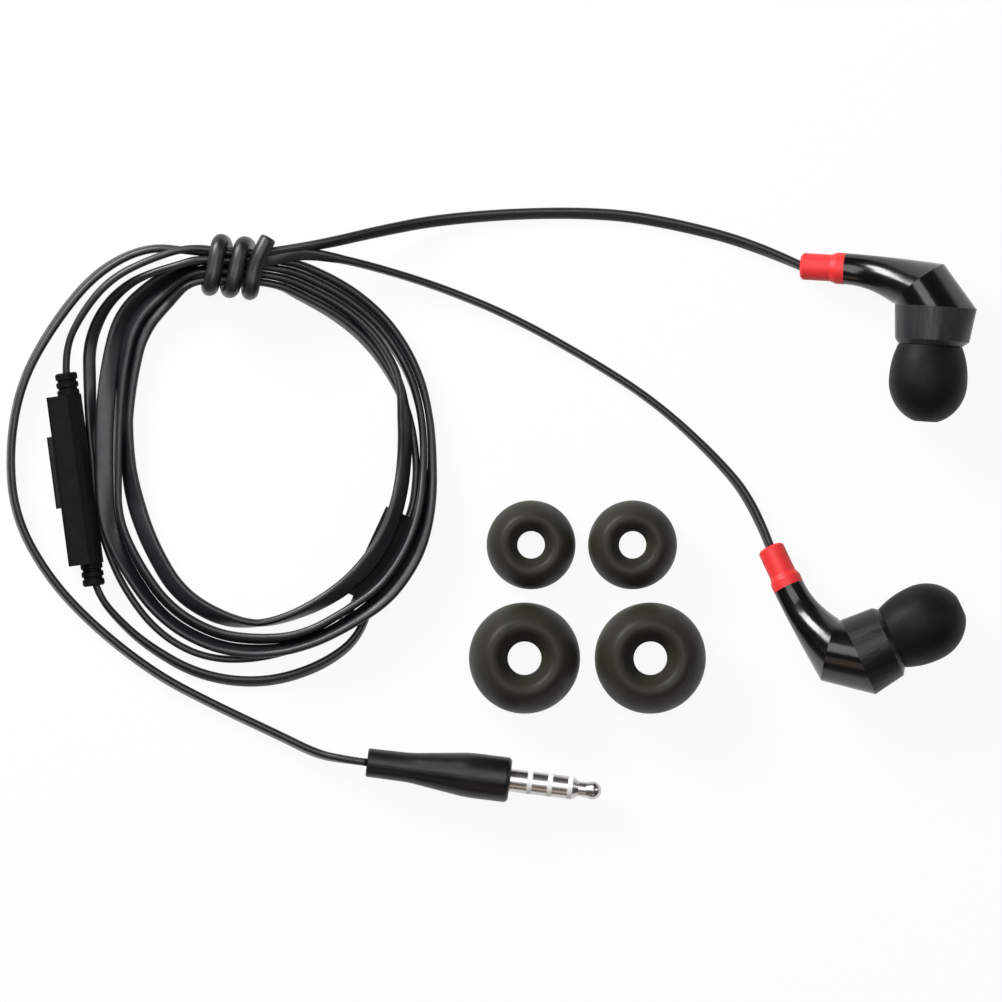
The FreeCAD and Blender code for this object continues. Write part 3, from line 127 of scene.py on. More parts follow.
def floor_material():
    made = bpy.data.materials.new("white_surface")
    made.use_nodes = True
    tree = made.node_tree
    tree.nodes.clear()
    path = tree.nodes.new("ShaderNodeLightPath")
    seen = tree.nodes.new("ShaderNodeMath")
    seen.operation = "MAXIMUM"
    seen_too = tree.nodes.new("ShaderNodeMath")
    seen_too.operation = "MAXIMUM"
    share = tree.nodes.new("ShaderNodeMath")
    share.operation = "MULTIPLY"
    share.inputs[1].default_value = GLOW_SHARE
    matte = tree.nodes.new("ShaderNodeBsdfDiffuse")
    matte.inputs["Color"].default_value = FLOOR_TONE
    white = tree.nodes.new("ShaderNodeEmission")
    white.inputs["Strength"].default_value = GLOW_STRENGTH
    mix = tree.nodes.new("ShaderNodeMixShader")
    out = tree.nodes.new("ShaderNodeOutputMaterial")
    tree.links.new(path.outputs["Is Camera Ray"], seen.inputs[0])
    tree.links.new(path.outputs["Is Glossy Ray"], seen.inputs[1])
    tree.links.new(seen.outputs[0], seen_too.inputs[0])
    tree.links.new(path.outputs["Is Transmission Ray"], seen_too.inputs[1])
    tree.links.new(seen_too.outputs[0], share.inputs[0])
    tree.links.new(share.outputs[0], mix.inputs["Fac"])
    tree.links.new(matte.outputs[0], mix.inputs[1])
    tree.links.new(white.outputs[0], mix.inputs[2])
    tree.links.new(mix.outputs[0], out.inputs["Surface"])
    return made


def mesh_object(name, vertices, faces, smooth=True):
    mesh = bpy.data.meshes.new(name)
    mesh.from_pydata([tuple(vertex) for vertex in vertices], [], faces)
    mesh.update()
    for polygon in mesh.polygons:
        polygon.use_smooth = smooth
    made = bpy.data.objects.new(name, mesh)
    scene.collection.objects.link(made)
    return made


HALF_FLOOR = 1200.0
FLOOR_DROP = 0.05
CORNER_SIGNS = [(-1, -1), (1, -1), (1, 1), (-1, 1)]
floor = mesh_object("floor", [mm(x * HALF_FLOOR, y * HALF_FLOOR, 0) for x, y in CORNER_SIGNS],
                    [(0, 1, 2, 3)], smooth=False)
floor.location.z = -FLOOR_DROP * MM
floor.data.materials.append(floor_material())


# Cords: flat leads swept along the points of a NURBS line, on edge, face up or leaning between the two
MAIN_WIDTH = 2.85
MAIN_THICKNESS = 1.15
LEAD_WIDTH = 2.0
LEAD_THICKNESS = 1.1
RING_STEP = 0.45
LEAST_STEPS = 8
TINY = 1e-9


def read_line(name, points, steps=16):
    """Points along the open NURBS line with these control points, evenly spaced in its parameter."""
    curve = bpy.data.curves.new(name + "_line", "CURVE")
    curve.dimensions = "3D"
    spline = curve.splines.new("NURBS")
    spline.points.add(len(points) - 1)
    for target, point in zip(spline.points, points):
        target.co = (*(mm(*point[:3])), 1)
    spline.order_u = 3
    spline.use_endpoint_u = True
    spline.resolution_u = steps
    holder = bpy.data.objects.new(name + "_line", curve)
    scene.collection.objects.link(holder)
    bpy.context.view_layer.update()
    mesh = bpy.data.meshes.new_from_object(holder)
    found = [vertex.co.copy() for vertex in mesh.vertices]
    bpy.data.objects.remove(holder)
    bpy.data.meshes.remove(mesh)
    return found


def by_parameter(values, share, count):
    """The value at a share of the line, from one value for each of its control points."""
    place = share * (count - 2)
    # A control point's value holds at the middle of its stretch of the line, and at the line's ends
    spots = [0.0] + [index + 0.5 for index in range(count - 2)] + [float(count - 2)]
    for index in range(count - 1):
        if place <= spots[index + 1] or index == count - 2:
            part = (place - spots[index]) / (spots[index + 1] - spots[index])
            part = min(max(part, 0.0), 1.0)
            return values[index] * (1 - part) + values[index + 1] * part


def even_steps(line, values, step):
    """The line and its values again at an even spacing."""
    run = [0.0]
    for first, second in zip(line, line[1:]):
        run.append(run[-1] + (second - first).length)
    total = run[-1]
    count = max(int(round(total / step)), LEAST_STEPS)
    points = []
    kept = []
    place = 0
    for index in range(count + 1):
        goal = total * index / count
        while place < len(run) - 2 and run[place + 1] < goal:
            place += 1
        part = (goal - run[place]) / max(run[place + 1] - run[place], TINY)
        points.append(line[place].lerp(line[place + 1], part))
        kept.append(values[place] * (1 - part) + values[place + 1] * part)
    return points, kept


def stadium(width, thickness, round_steps=7):
    """Outline of a flat cable's section: (along its width, along its thickness)."""
    radius = thickness / 2
    centre = (width - thickness) / 2
    outline = []
    for index in range(round_steps):
        turn = -math.pi / 2 + math.pi * index / (round_steps - 1)
        outline.append((centre + radius * math.cos(turn), radius * math.sin(turn)))
    outline.append((0.0, radius))
    for index in range(round_steps):
        turn = math.pi / 2 + math.pi * index / (round_steps - 1)
        outline.append((-centre + radius * math.cos(turn), radius * math.sin(turn)))
    outline.append((0.0, -radius))
    return outline


def heading_at(line, index):
    before = line[max(index - 1, 0)]
    after = line[min(index + 1, len(line) - 1)]
    return (after - before).normalized()


def skin(name, rings):
    """A closed tube through rings of equally many points."""
    size = len(rings[0])
    faces = []
    for ring in range(len(rings) - 1):
        for step in range(size):
            a = ring * size + step
            b = ring * size + (step + 1) % size
            faces.append((a, b, b + size, a + size))
    faces.append(tuple(reversed(range(size))))
    last = (len(rings) - 1) * size
    faces.append(tuple(last + step for step in range(size)))
    return mesh_object(name, [vertex for ring in rings for vertex in ring], faces)


def ribbon(name, route, width, thickness):
    """A flat cord. Each route point is x, y, z of a cord on edge, and its turn from on edge in degrees."""
    line = read_line(name, route)
    count = len(route)
    turns = [point[3] if len(point) > 3 else 0.0 for point in route]
    found = [by_parameter(turns, index / (len(line) - 1), count) for index in range(len(line))]
    line, found = even_steps(line, found, RING_STEP * MM)
    outline = stadium(width, thickness)
    half = width / 2
    centre_line = []
    rings = []
    for index, point in enumerate(line):
        heading = heading_at(line, index)
        side = heading.cross(UP).normalized()
        up = side.cross(heading).normalized()
        angle = math.radians(found[index])
        wide = up * math.cos(angle) + side * math.sin(angle)
        thin = side * math.cos(angle) - up * math.sin(angle)
        stands = (half - thickness / 2) * abs(math.cos(angle)) + thickness / 2
        middle = point + Vector((0, 0, (stands - half) * MM))
        centre_line.append(middle)
        rings.append([middle + wide * (a * MM) + thin * (b * MM) for a, b in outline])
    length = sum((b - a).length for a, b in zip(centre_line, centre_line[1:]))
    return skin(name, rings), centre_line, length


# The tie holds the bundle here. Strands run along it and lie beside each other across it.
TIE_MIDDLE = (-74.4, 33.2)
ALONG_TIE = (0.9945, -0.1045)
ACROSS_TIE = (0.1045, 0.9945)
STRAND_PITCH = 1.2
MIDDLE_STRAND = 1.5
BUNDLE_SHIFT = 0.5
HALF_BUNDLE_RUN = 6.6
FAN_OUT = 0.3
FAN_TURN = 20.0
STRANDS_Z = 3.95
LEADS_Z = 6.45


def at_tie(along, across, height, turn=0.0):
    return (TIE_MIDDLE[0] + ALONG_TIE[0] * along + ACROSS_TIE[0] * across,
            TIE_MIDDLE[1] + ALONG_TIE[1] * along + ACROSS_TIE[1] * across, height, turn)


# Outermost turn of the coil, clockwise from the tie, and its middle
RING_MIDDLE = (-69.9, 4.1)
RING = [
    (-64.2, 33.1), (-57.0, 29.5), (-51.2, 24.5), (-46.9, 17.9), (-44.8, 10.9), (-44.3, 3.0),
    (-44.7, -4.4), (-46.4, -11.3), (-49.8, -18.3), (-55.1, -23.8), (-63.8, -25.4), (-71.3, -26.1),
    (-78.5, -25.0), (-85.8, -20.8), (-91.0, -13.6), (-94.3, -6.1), (-94.6, 1.8), (-94.5, 10.2),
    (-93.7, 18.3), (-91.9, 25.9), (-86.5, 31.1)]
# One row for each turn: how far inside the outermost turn it lies at each station,
# the height of its middle as on edge, and its turn from on edge in degrees
INSET = [
    [0.0, 0.0, 0.0, 0.0, 0.0, 0.0, 0.1, 0.5, 1.6, 2.9, 0.35,
     0.0, 0.0, 0.0, 0.0, 0.0, 0.0, 0.0, 0.0, 0.1, 0.3],
    [1.5, 1.5, 1.45, 1.35, 1.25, 1.3, 1.7, 2.4, 3.6, 4.8, 1.95,
     1.95, 1.9, 1.95, 1.95, 1.85, 2.05, 2.1, 2.15, 2.1, 1.9],
    [3.0, 3.0, 2.9, 2.95, 3.9, 4.3, 5.0, 5.8, 7.1, 7.8, 5.3,
     4.2, 4.4, 4.6, 5.0, 5.1, 3.7, 3.55, 3.9, 4.1, 3.5],
    [4.5, 4.5, 4.3, 4.0, 3.1, 2.45]]
HEIGHT = [
    [3.4, 2.5, 1.6, 1.43, 1.43, 2.0, 3.6, 4.45, 4.45, 4.45, 4.2,
     3.2, 2.0, 1.43, 1.6, 3.2, 3.45, 3.3, 1.8, 1.8, 2.9],
    [3.4, 2.5, 1.6, 1.43, 1.43, 2.0, 3.6, 4.45, 4.45, 4.45, 4.2,
     3.2, 2.0, 1.43, 1.43, 1.43, 1.43, 1.43, 1.43, 1.8, 2.9],
    [3.4, 2.5, 2.8, 4.2, 4.4, 3.4, 4.4, 4.4, 4.4, 3.0, 1.5,
     1.43, 1.43, 1.43, 1.43, 1.43, 1.43, 1.43, 1.43, 1.8, 2.9],
    [3.4, 2.5, 1.6, 1.43, 1.43, 1.43]]
FACING = [
    [-12, -18, -18, -8, 0, -10, -32, -62, -62, -40, -25,
     -32, -30, -28, -40, -72, -90, -90, -72, -55, -32],
    [-12, -18, -18, -8, 0, 0, -8, -16, -18, 0, 12,
     18, 18, 18, 15, 12, 15, 20, 28, 44, 48],
    [-12, -18, -18, -5, 35, 40, 45, 55, 65, 50, 20,
     0, 50, 65, 65, 75, 45, 20, 32, 52, 54],
    [-12, -18, -18, -8, 0, 0]]


def ring_station(turn, station):
    x, y = RING[station]
    inward = Vector((RING_MIDDLE[0] - x, RING_MIDDLE[1] - y)).normalized()
    inset = INSET[turn][station]
    return (x + inward.x * inset, y + inward.y * inset, HEIGHT[turn][station],
            FACING[turn][station])


# The inner strands fan out a little where they come to the tie
coil_route = []
for turn in range(len(INSET)):
    across = (MIDDLE_STRAND - turn) * STRAND_PITCH - BUNDLE_SHIFT
    coil_route.append(at_tie(-HALF_BUNDLE_RUN, across - FAN_OUT * max(turn - 1, 0), STRANDS_Z,
                             FAN_TURN if turn > 1 else 0.0))
    for along in (0.0, HALF_BUNDLE_RUN):
        coil_route.append(at_tie(along, across, STRANDS_Z))
    for station in range(len(INSET[turn])):
        coil_route.append(ring_station(turn, station))

# Plug lead from the plug round the left of the coil to the tie
tail_route = [
    (-54.35, -42.8, 3.45, 0), (-58.0, -42.35, 3.0, 5), (-62.0, -41.6, 1.9, 12),
    (-67.5, -38.9, 1.43, 12), (-77.5, -34.2, 1.43, 12), (-86.6, -29.5, 1.43, 12),
    (-96.0, -22.2, 1.43, 12), (-103.3, -14.4, 1.43, 12), (-108.3, -5.1, 1.43, 12),
    (-109.1, 5.3, 1.43, 10), (-107.2, 15.6, 1.43, 12), (-101.8, 24.9, 1.6, 15),
    (-95.6, 32.2, 2.2, 15), (-88.0, 36.0, 3.2, 8)]
splitter_entry = [(-47.0, -1.0, 1.455, 0.0), (-47.5, -4.2, 1.455, 0.0), (-48.5, -6.6, 1.455, 0.0)]
main_route = tail_route + coil_route + splitter_entry

left_lower_route = [
    (-54.0, -18.5, 1.0), (-54.9, -23.2, 1.0, 15), (-61.2, -28.2, 1.0, 35), (-70.3, -30.9, 1.0, 38),
    (-80.0, -29.7, 1.0, 35), (-88.3, -24.9, 1.0, 25), (-93.2, -20.2, 1.9, 10), (-95.3, -17.2, 2.5),
    (-96.04, -14.9, 2.7)]
right_route = [
    (-56.0, -17.6, 1.0), (-57.4, -21.2, 1.0), (-62.6, -24.6, 1.0), (-71.0, -27.2, 1.0),
    (-79.4, -27.0, 1.0), (-86.4, -23.1, 1.0), (-91.6, -16.3, 1.0), (-94.6, -9.2, 1.0),
    (-95.9, -3.4, 1.0), (-96.3, 2.4, 1.0), (-96.6, 9.0, 1.0, -45), (-96.8, 15.0, 1.0, -80),
    (-96.9, 21.2, 1.3, -80), (-94.6, 26.6, 2.6, -45), (-90.9, 30.2, 4.2, -20), (-87.0, 32.0, 5.4, 0),
    (-83.0, 33.1, 6.3), at_tie(-5.6, 0.3, LEADS_Z), at_tie(0.0, 0.3, LEADS_Z, -20),
    at_tie(5.6, 1.2, LEADS_Z, -80), (-64.6, 35.0, 6.2, -70), (-58.0, 34.0, 5.0, -15),
    (-50.3, 32.0, 3.2, -10), (-42.2, 29.4, 1.4, -10), (-32.5, 25.4, 1.0, -10),
    (-21.0, 19.1, 1.0, -10), (-10.5, 12.4, 1.0, -12), (-1.4, 4.1, 1.0, -20), (4.6, -3.0, 1.2, -30),
    (7.22, -10.0, 2.47, -20)]
left_upper_route = [
    (-100.2, 15.4, 2.7), (-100.6, 20.0, 3.0), (-98.0, 25.6, 4.2, 10), (-93.6, 30.9, 5.5, 10),
    (-87.6, 33.9, 6.3), at_tie(-6.8, 2.1, LEADS_Z), at_tie(0.0, 1.4, LEADS_Z),
    at_tie(6.8, 2.8, LEADS_Z, -15), (-60.6, 36.3, 6.2, -35), (-52.8, 38.2, 4.2, -45),
    (-43.5, 40.1, 1.6, -50), (-30.0, 41.15, 1.0, -45), (-17.0, 41.05, 1.0, -50),
    (-7.0, 39.4, 1.0, -50), (4.5, 36.4, 1.3, -40), (11.97, 32.97, 2.47, -20)]

# Tie: a round strand wound three times round the bundle, its cut end standing out at the top
TIE_DIAMETER = 2.5
CUT_EDGE_SHARE = 0.92
HALF_WRAP = 3.55
WRAP_SHIFT = -0.42
WRAP_LOW = 1.26
WRAP_HIGH = 8.72
# Where along the bundle each wrap rises at its near side, and where it comes down at its far side
NEAR_SIDE = (-3.7, -0.7, 2.5)
FAR_SIDE = (-2.2, 1.5, 3.7)
# A wrap's way over the bundle, and back under it, as shares of its half width and of its height
OVER = [
    (-1.0, 0.12), (-1.0, 0.5), (-1.0, 0.84), (-0.74, 1.0), (0.0, 1.0), (0.74, 1.0), (1.0, 0.84),
    (1.0, 0.5), (1.0, 0.12)]
UNDER = [0.72, 0.0, -0.72]
LAST_OVER = 5
# Its hidden end under the bundle and its cut end above it: along, across and height
HIDDEN_END = [(-4.0, 0.2 * HALF_WRAP, WRAP_LOW), (-3.8, -0.72 * HALF_WRAP, WRAP_LOW)]
CUT_END = [(3.9, 2.5, 9.2), (4.7, 4.4, 8.9)]
tie_route = [at_tie(*place) for place in HIDDEN_END]
for wrap in range(len(NEAR_SIDE)):
    last_wrap = wrap == len(NEAR_SIDE) - 1
    for index, (across, level) in enumerate(OVER[:LAST_OVER] if last_wrap else OVER):
        share = index / (len(OVER) - 1)
        along = NEAR_SIDE[wrap] * (1 - share) + FAR_SIDE[wrap] * share
        height = WRAP_LOW + (WRAP_HIGH - WRAP_LOW) * level
        tie_route.append(at_tie(along, WRAP_SHIFT + HALF_WRAP * across, height))
    if not last_wrap:
        for index, across in enumerate(UNDER):
            share = (index + 1) / (len(UNDER) + 1)
            along = FAR_SIDE[wrap] * (1 - share) + NEAR_SIDE[wrap + 1] * share
            tie_route.append(at_tie(along, WRAP_SHIFT + HALF_WRAP * across, WRAP_LOW))
tie_route += [at_tie(*place) for place in CUT_END]


# Materials: every one gets its grain, its unevenness and its gloss from nodes
SHEEN_ROUGHNESS = 0.4
SCATTER_DEPTHS = (0.0012, 0.0007, 0.0005)
SHADE_SHARE = 0.6
MOTTLE_DETAIL = 4
GRAIN_DETAIL = 3
CLOUD_LOW = 0.3
CLOUD_HIGH = 0.7
SMOOTHEST = 0.02
GRAIN_HEIGHT = 0.2


def finish_material(name, colour, rough, metallic=0.0, specular=0.5, coat=0.0, coat_rough=0.1,
                    shade=None, mottle=900.0, grain=4000.0, bump=0.02, rough_spread=0.06,
                    stretch=(1, 1, 1), turn=None, sheen=0.0, subsurface=0.0):
    """colour and shade are the two ends of a fine mottling; mottle and grain are per metre.

    With a turn, in degrees about the vertical, stretch draws the grain out along that direction.
    """
    made = bpy.data.materials.new(name)
    made.use_nodes = True
    tree = made.node_tree
    shader = tree.nodes["Principled BSDF"]
    shader.inputs["Metallic"].default_value = metallic
    shader.inputs["Specular IOR Level"].default_value = specular
    shader.inputs["Coat Weight"].default_value = coat
    shader.inputs["Coat Roughness"].default_value = coat_rough
    shader.inputs["Sheen Weight"].default_value = sheen
    shader.inputs["Sheen Roughness"].default_value = SHEEN_ROUGHNESS
    if subsurface:
        shader.inputs["Subsurface Weight"].default_value = subsurface
        shader.inputs["Subsurface Radius"].default_value = SCATTER_DEPTHS
        shader.inputs["Subsurface Scale"].default_value = 1.0
    place = tree.nodes.new("ShaderNodeTexCoord")
    scaled = tree.nodes.new("ShaderNodeMapping")
    scaled.inputs["Scale"].default_value = stretch
    if turn is not None:
        scaled.vector_type = "TEXTURE"
        scaled.inputs["Rotation"].default_value = (0, 0, math.radians(turn))
    tree.links.new(place.outputs["Object"], scaled.inputs["Vector"])
    cloud = tree.nodes.new("ShaderNodeTexNoise")
    cloud.inputs["Scale"].default_value = mottle
    cloud.inputs["Detail"].default_value = MOTTLE_DETAIL
    fine = tree.nodes.new("ShaderNodeTexNoise")
    fine.inputs["Scale"].default_value = grain
    fine.inputs["Detail"].default_value = GRAIN_DETAIL
    tree.links.new(scaled.outputs[0], cloud.inputs["Vector"])
    tree.links.new(scaled.outputs[0], fine.inputs["Vector"])
    tint = tree.nodes.new("ShaderNodeMix")
    tint.data_type = "RGBA"
    tint.inputs["A"].default_value = (*colour, 1)
    tint.inputs["B"].default_value = (*(shade or [SHADE_SHARE * part for part in colour]), 1)
    tree.links.new(cloud.outputs["Fac"], tint.inputs["Factor"])
    tree.links.new(tint.outputs["Result"], shader.inputs["Base Color"])
    spread = tree.nodes.new("ShaderNodeMapRange")
    spread.inputs["From Min"].default_value = CLOUD_LOW
    spread.inputs["From Max"].default_value = CLOUD_HIGH
    spread.inputs["To Min"].default_value = max(rough - rough_spread, SMOOTHEST)
    spread.inputs["To Max"].default_value = min(rough + rough_spread, 1.0)
    tree.links.new(cloud.outputs["Fac"], spread.inputs["Value"])
    tree.links.new(spread.outputs[0], shader.inputs["Roughness"])
    raised = tree.nodes.new("ShaderNodeBump")
    raised.inputs["Strength"].default_value = bump
    raised.inputs["Distance"].default_value = GRAIN_HEIGHT * MM
    tree.links.new(fine.outputs["Fac"], raised.inputs["Height"])
    tree.links.new(raised.outputs[0], shader.inputs["Normal"])
    return made


cord_rubber = finish_material("cord_rubber", (0.0086, 0.0094, 0.0118), 0.40, mottle=500, bump=0.05,
                              grain=3000, specular=0.6, shade=(0.0056, 0.0060, 0.0076))
tie_rubber = finish_material("tie_rubber", (0.0078, 0.0082, 0.0096), 0.40, mottle=700, bump=0.10,
                             grain=2600, specular=0.6, shade=(0.0050, 0.0053, 0.0062))
gloss_black = finish_material("housing_gloss", (0.0035, 0.0035, 0.0042), 0.22, coat=0.3,
                              coat_rough=0.12, mottle=300, grain=9000, bump=0.006, rough_spread=0.03)
# Angles of the nozzles' axes on the surface, so that the drums' fine streaks run along them
LEFT_NOZZLE_TURN = -93.6
RIGHT_NOZZLE_TURN = 24.9


def drum_material(name, turn, light, dark):
    return finish_material(name, light, 0.36, specular=0.42, mottle=1500, grain=5200, bump=0.22,
                           rough_spread=0.14, stretch=(14, 1, 1), turn=turn, shade=dark)


# Painted light: the left drum's colours are painted lighter than the right drum's, though both are the
# same satin plastic, so that the upper bud's drum looks more brightly lit
left_drum_painted_lighter = drum_material("drum_satin_left_painted_lighter", LEFT_NOZZLE_TURN, (0.0260, 0.0268, 0.0290),
                          (0.0050, 0.0052, 0.0060))
right_drum = drum_material("drum_satin_right", RIGHT_NOZZLE_TURN, (0.0100, 0.0104, 0.0116),
                           (0.0030, 0.0031, 0.0036))
boot_red = finish_material("boot_rubber", (0.78, 0.036, 0.036), 0.46, specular=0.35, mottle=600,
                           grain=5000, bump=0.05, shade=(0.66, 0.026, 0.028), subsurface=0.1)
tip_black = finish_material("tip_silicone", (0.0045, 0.0045, 0.0050), 0.55, specular=0.16, mottle=400,
                            grain=6000, bump=0.03, sheen=0.05)
spare_olive = finish_material("spare_silicone", (0.0285, 0.0270, 0.0190), 0.46, specular=0.17,
                              mottle=350, grain=5000, bump=0.03, shade=(0.0200, 0.0195, 0.0150))
plug_black = finish_material("plug_plastic", (0.0042, 0.0044, 0.0050), 0.36, specular=0.4, mottle=500,
                             grain=2600, bump=0.08)
remote_black = finish_material("remote_plastic", (0.0040, 0.0042, 0.0048), 0.50, specular=0.10,
                               mottle=450, grain=2400, bump=0.10)
splitter_black = finish_material("splitter_rubber", (0.0040, 0.0042, 0.0050), 0.55, specular=0.08,
                                 mottle=450, grain=2400, bump=0.10)
button_black = finish_material("button_plastic", (0.004, 0.004, 0.0045), 0.42, specular=0.2,
                               mottle=450, grain=4200, bump=0.04)
chrome = finish_material("contact_chrome", (0.66, 0.65, 0.63), 0.28, metallic=1.0, mottle=300,
                         grain=7000, bump=0.004, rough_spread=0.02, shade=(0.52, 0.50, 0.47))
band_white = finish_material("band_plastic", (0.80, 0.80, 0.78), 0.30, mottle=900, grain=5000,
                             shade=(0.72, 0.72, 0.70), bump=0.01)
steel = finish_material("steel", (0.45, 0.45, 0.46), 0.30, metallic=1.0, mottle=900, grain=6000)
magnet = finish_material("magnet_nickel", (0.60, 0.58, 0.53), 0.22, metallic=1.0, mottle=900)
copper = finish_material("coil_copper", (0.72, 0.30, 0.16), 0.30, metallic=1.0, mottle=1500,
                         stretch=(1, 1, 6))
film = finish_material("film", (0.55, 0.42, 0.20), 0.18, mottle=800, grain=5000, coat=0.4)
basket = finish_material("basket_plastic", (0.03, 0.03, 0.03), 0.45, mottle=700)
board = finish_material("board_green", (0.010, 0.085, 0.035), 0.35, mottle=900, grain=3000, coat=0.3)
felt = finish_material("damper_felt", (0.10, 0.10, 0.10), 0.9, mottle=1800, grain=9000, bump=0.4)
mesh_steel = finish_material("mesh_steel", (0.30, 0.30, 0.31), 0.35, metallic=1.0, mottle=3000,
                             grain=9000, bump=0.3)

# The rigid nodes keep their shapes and get these finishes, by name with or without the side
NODE_FINISH = {
    "rear_housing": gloss_black, "left_front_housing": left_drum_painted_lighter,
    "right_front_housing": right_drum, "driver_basket": basket,
    "driver_yoke": steel, "driver_magnet": magnet, "driver_top_plate": steel,
    "voice_coil": copper, "diaphragm": film, "terminal_board": board, "vent_damper": felt,
    "nozzle_mesh": mesh_steel, "ear_tip": tip_black, "cable_boot": boot_red,
    "cable_clip": steel, "driver_wires": copper, "spare_tip_small_left": spare_olive,
    "spare_tip_small_right": spare_olive, "spare_tip_large_left": spare_olive,
    "spare_tip_large_right": spare_olive, "plug_moulding": plug_black,
    "plug_sleeve_contact": chrome, "plug_second_ring_contact": chrome,
    "plug_first_ring_contact": chrome, "plug_rod_insulation": band_white,
    "plug_tip_contact": chrome, "plug_insulating_bands": band_white,
    "remote_front_shell": remote_black, "remote_rear_shell": remote_black,
    "remote_button": button_black, "remote_circuit_board": board,
    "remote_dome_switch": steel, "remote_microphone": steel,
    "remote_microphone_mesh": mesh_steel, "remote_upper_collar": remote_black,
    "remote_lower_collar": remote_black, "cable_splitter": splitter_black}


def finish_node(name, node):
    for side in ("left_", "right_"):
        if name not in NODE_FINISH:
            name = name.removeprefix(side)
    if name not in NODE_FINISH:
        return
    if not node.material_slots:
        node.data.materials.append(None)
    for slot in node.material_slots:
        slot.link = "OBJECT"
        slot.material = NODE_FINISH[name]


for node_name, node_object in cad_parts.items():
    finish_node(node_name, node_object)


# Fitted ear tips: soft silicone, a round dome with a small mouth over a hollow skirt.
# along is measured from the seam of the housings, on the nozzle's axis.
BUD_HEIGHT = 6.05
LEFT_BUD = (31.9, 26.7)
RIGHT_BUD = (20.3, -26.3)
TIP_RADIUS = 6.0
TIP_EDGE_RADIUS = 4.9
TIP_EDGE = 5.95
TIP_WIDEST = 11.4
TIP_CREST = 17.8
TIP_WALL = 0.7
TIP_MOUTH = 1.2
TIP_RIM = 0.5
SKIRT_CURVE = 2.2
SKIRT_STEPS = 12
DOME_STEPS = 20
RIM_STEPS = 6
HOLLOW_STEPS = 12
SHARP_EDGE = 40
SLEEVE_FOOT = 5.9
SLEEVE_TOP = 9.8
SLEEVE_BORE = 2.6
SLEEVE_RADIUS = 3.35
HOLLOW_RISE = 5.0


def skirt_radius(along):
    share = (TIP_WIDEST - along) / (TIP_WIDEST - TIP_EDGE)
    return TIP_RADIUS - (TIP_RADIUS - TIP_EDGE_RADIUS) * share ** SKIRT_CURVE


def tip_profile():
    """The tip's closed outline as (radius, along)."""
    levels = [TIP_EDGE + (TIP_WIDEST - TIP_EDGE) * k / SKIRT_STEPS for k in range(SKIRT_STEPS + 1)]
    outline = [(skirt_radius(level), level) for level in levels]
    rise = TIP_CREST - TIP_WIDEST
    rim_radius = TIP_MOUTH + TIP_RIM
    end_turn = math.acos(rim_radius / TIP_RADIUS)
    for k in range(1, DOME_STEPS + 1):
        turn = end_turn * k / DOME_STEPS
        outline.append((TIP_RADIUS * math.cos(turn), TIP_WIDEST + rise * math.sin(turn)))
    rim_level = outline[-1][1] - TIP_RIM
    for k in range(1, RIM_STEPS + 1):
        turn = math.pi / 2 * (1 + k / RIM_STEPS)
        outline.append((rim_radius + TIP_RIM * math.cos(turn), rim_level + TIP_RIM * math.sin(turn)))
    outline += [(TIP_MOUTH, SLEEVE_TOP), (SLEEVE_BORE, SLEEVE_TOP), (SLEEVE_BORE, SLEEVE_FOOT),
                (SLEEVE_RADIUS, SLEEVE_FOOT)]
    inner = TIP_RADIUS - TIP_WALL
    start_turn = math.acos(SLEEVE_RADIUS / inner)
    for k in range(HOLLOW_STEPS + 1):
        turn = start_turn * (1 - k / HOLLOW_STEPS)
        outline.append((inner * math.cos(turn), TIP_WIDEST + HOLLOW_RISE * math.sin(turn)))
    outline += [(skirt_radius(level) - TIP_WALL, level) for level in reversed(levels[:-1])]
    return outline


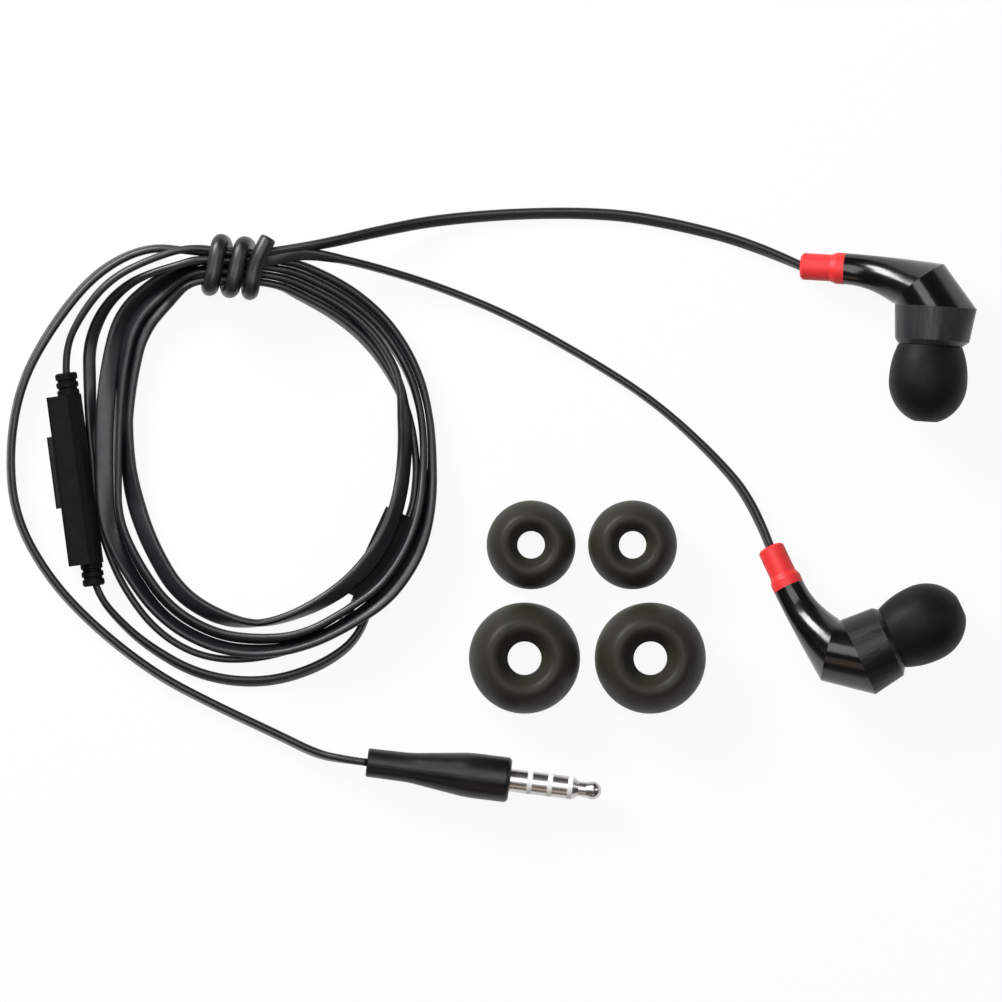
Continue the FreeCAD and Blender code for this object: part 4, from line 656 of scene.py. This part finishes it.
def ear_tip(name, spot, turn, sides=96):
    axis = Vector((math.cos(math.radians(turn)), math.sin(math.radians(turn)), 0))
    across = Vector((-axis.y, axis.x, 0))
    outline = tip_profile()
    count = len(outline)
    vertices = []
    faces = []
    for k in range(sides):
        angle = 2 * math.pi * k / sides
        out = across * math.cos(angle) + Vector((0, 0, math.sin(angle)))
        for radius, along in outline:
            vertices.append(mm(*spot, BUD_HEIGHT) + (axis * along + out * radius) * MM)
        after = (k + 1) % sides
        for step in range(count):
            next_step = (step + 1) % count
            faces.append((k * count + step, k * count + next_step,
                          after * count + next_step, after * count + step))
    made = mesh_object(name, vertices, faces)
    made.data.set_sharp_from_angle(angle=math.radians(SHARP_EDGE))
    made.data.materials.append(tip_black)
    return made


left_tip = ear_tip("left_soft_tip", LEFT_BUD, LEFT_NOZZLE_TURN)
right_tip = ear_tip("right_soft_tip", RIGHT_BUD, RIGHT_NOZZLE_TURN)
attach(left_tip, "left_fitted_tip")
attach(right_tip, "right_fitted_tip")
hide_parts("left_ear_tip")
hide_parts("right_ear_tip")


# The cords themselves
main_cord, main_line, main_length = ribbon("main_cord", main_route, MAIN_WIDTH, MAIN_THICKNESS)
lower_cord, lower_line, lower_length = ribbon("left_cord_lower", left_lower_route, LEAD_WIDTH,
                                              LEAD_THICKNESS)
right_cord, right_line, right_length = ribbon("right_cord", right_route, LEAD_WIDTH, LEAD_THICKNESS)
upper_cord, upper_line, upper_length = ribbon("left_cord_upper", left_upper_route, LEAD_WIDTH,
                                              LEAD_THICKNESS)
for cord_object in (main_cord, lower_cord, right_cord, upper_cord):
    cord_object.data.materials.append(cord_rubber)
    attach(cord_object, "earphones")


def round_tube(name, route, diameter, sides=20, step=0.35):
    """A round strand that follows the NURBS line of the route, with cut ends."""
    line = read_line(name, route)
    line, _ = even_steps(line, [0.0] * len(line), step * MM)
    rings = []
    side = heading_at(line, 0).cross(UP).normalized()
    for index, point in enumerate(line):
        heading = heading_at(line, index)
        side = (side - heading * side.dot(heading)).normalized()
        other = heading.cross(side)
        radius = diameter / 2 * MM
        if index in (0, len(line) - 1):
            radius *= CUT_EDGE_SHARE
        rings.append([point + side * (radius * math.cos(2 * math.pi * k / sides))
                      + other * (radius * math.sin(2 * math.pi * k / sides)) for k in range(sides)])
    return skin(name, rings)


tie = round_tube("wound_tie", tie_route, TIE_DIAMETER)
tie.data.materials.append(tie_rubber)
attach(tie, "earphones")

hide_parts("main_cable_tail", "main_cable_coil")
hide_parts("left_lead_lower")
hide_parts("right_lead")
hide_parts("left_lead_upper")
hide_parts("cable_tie")
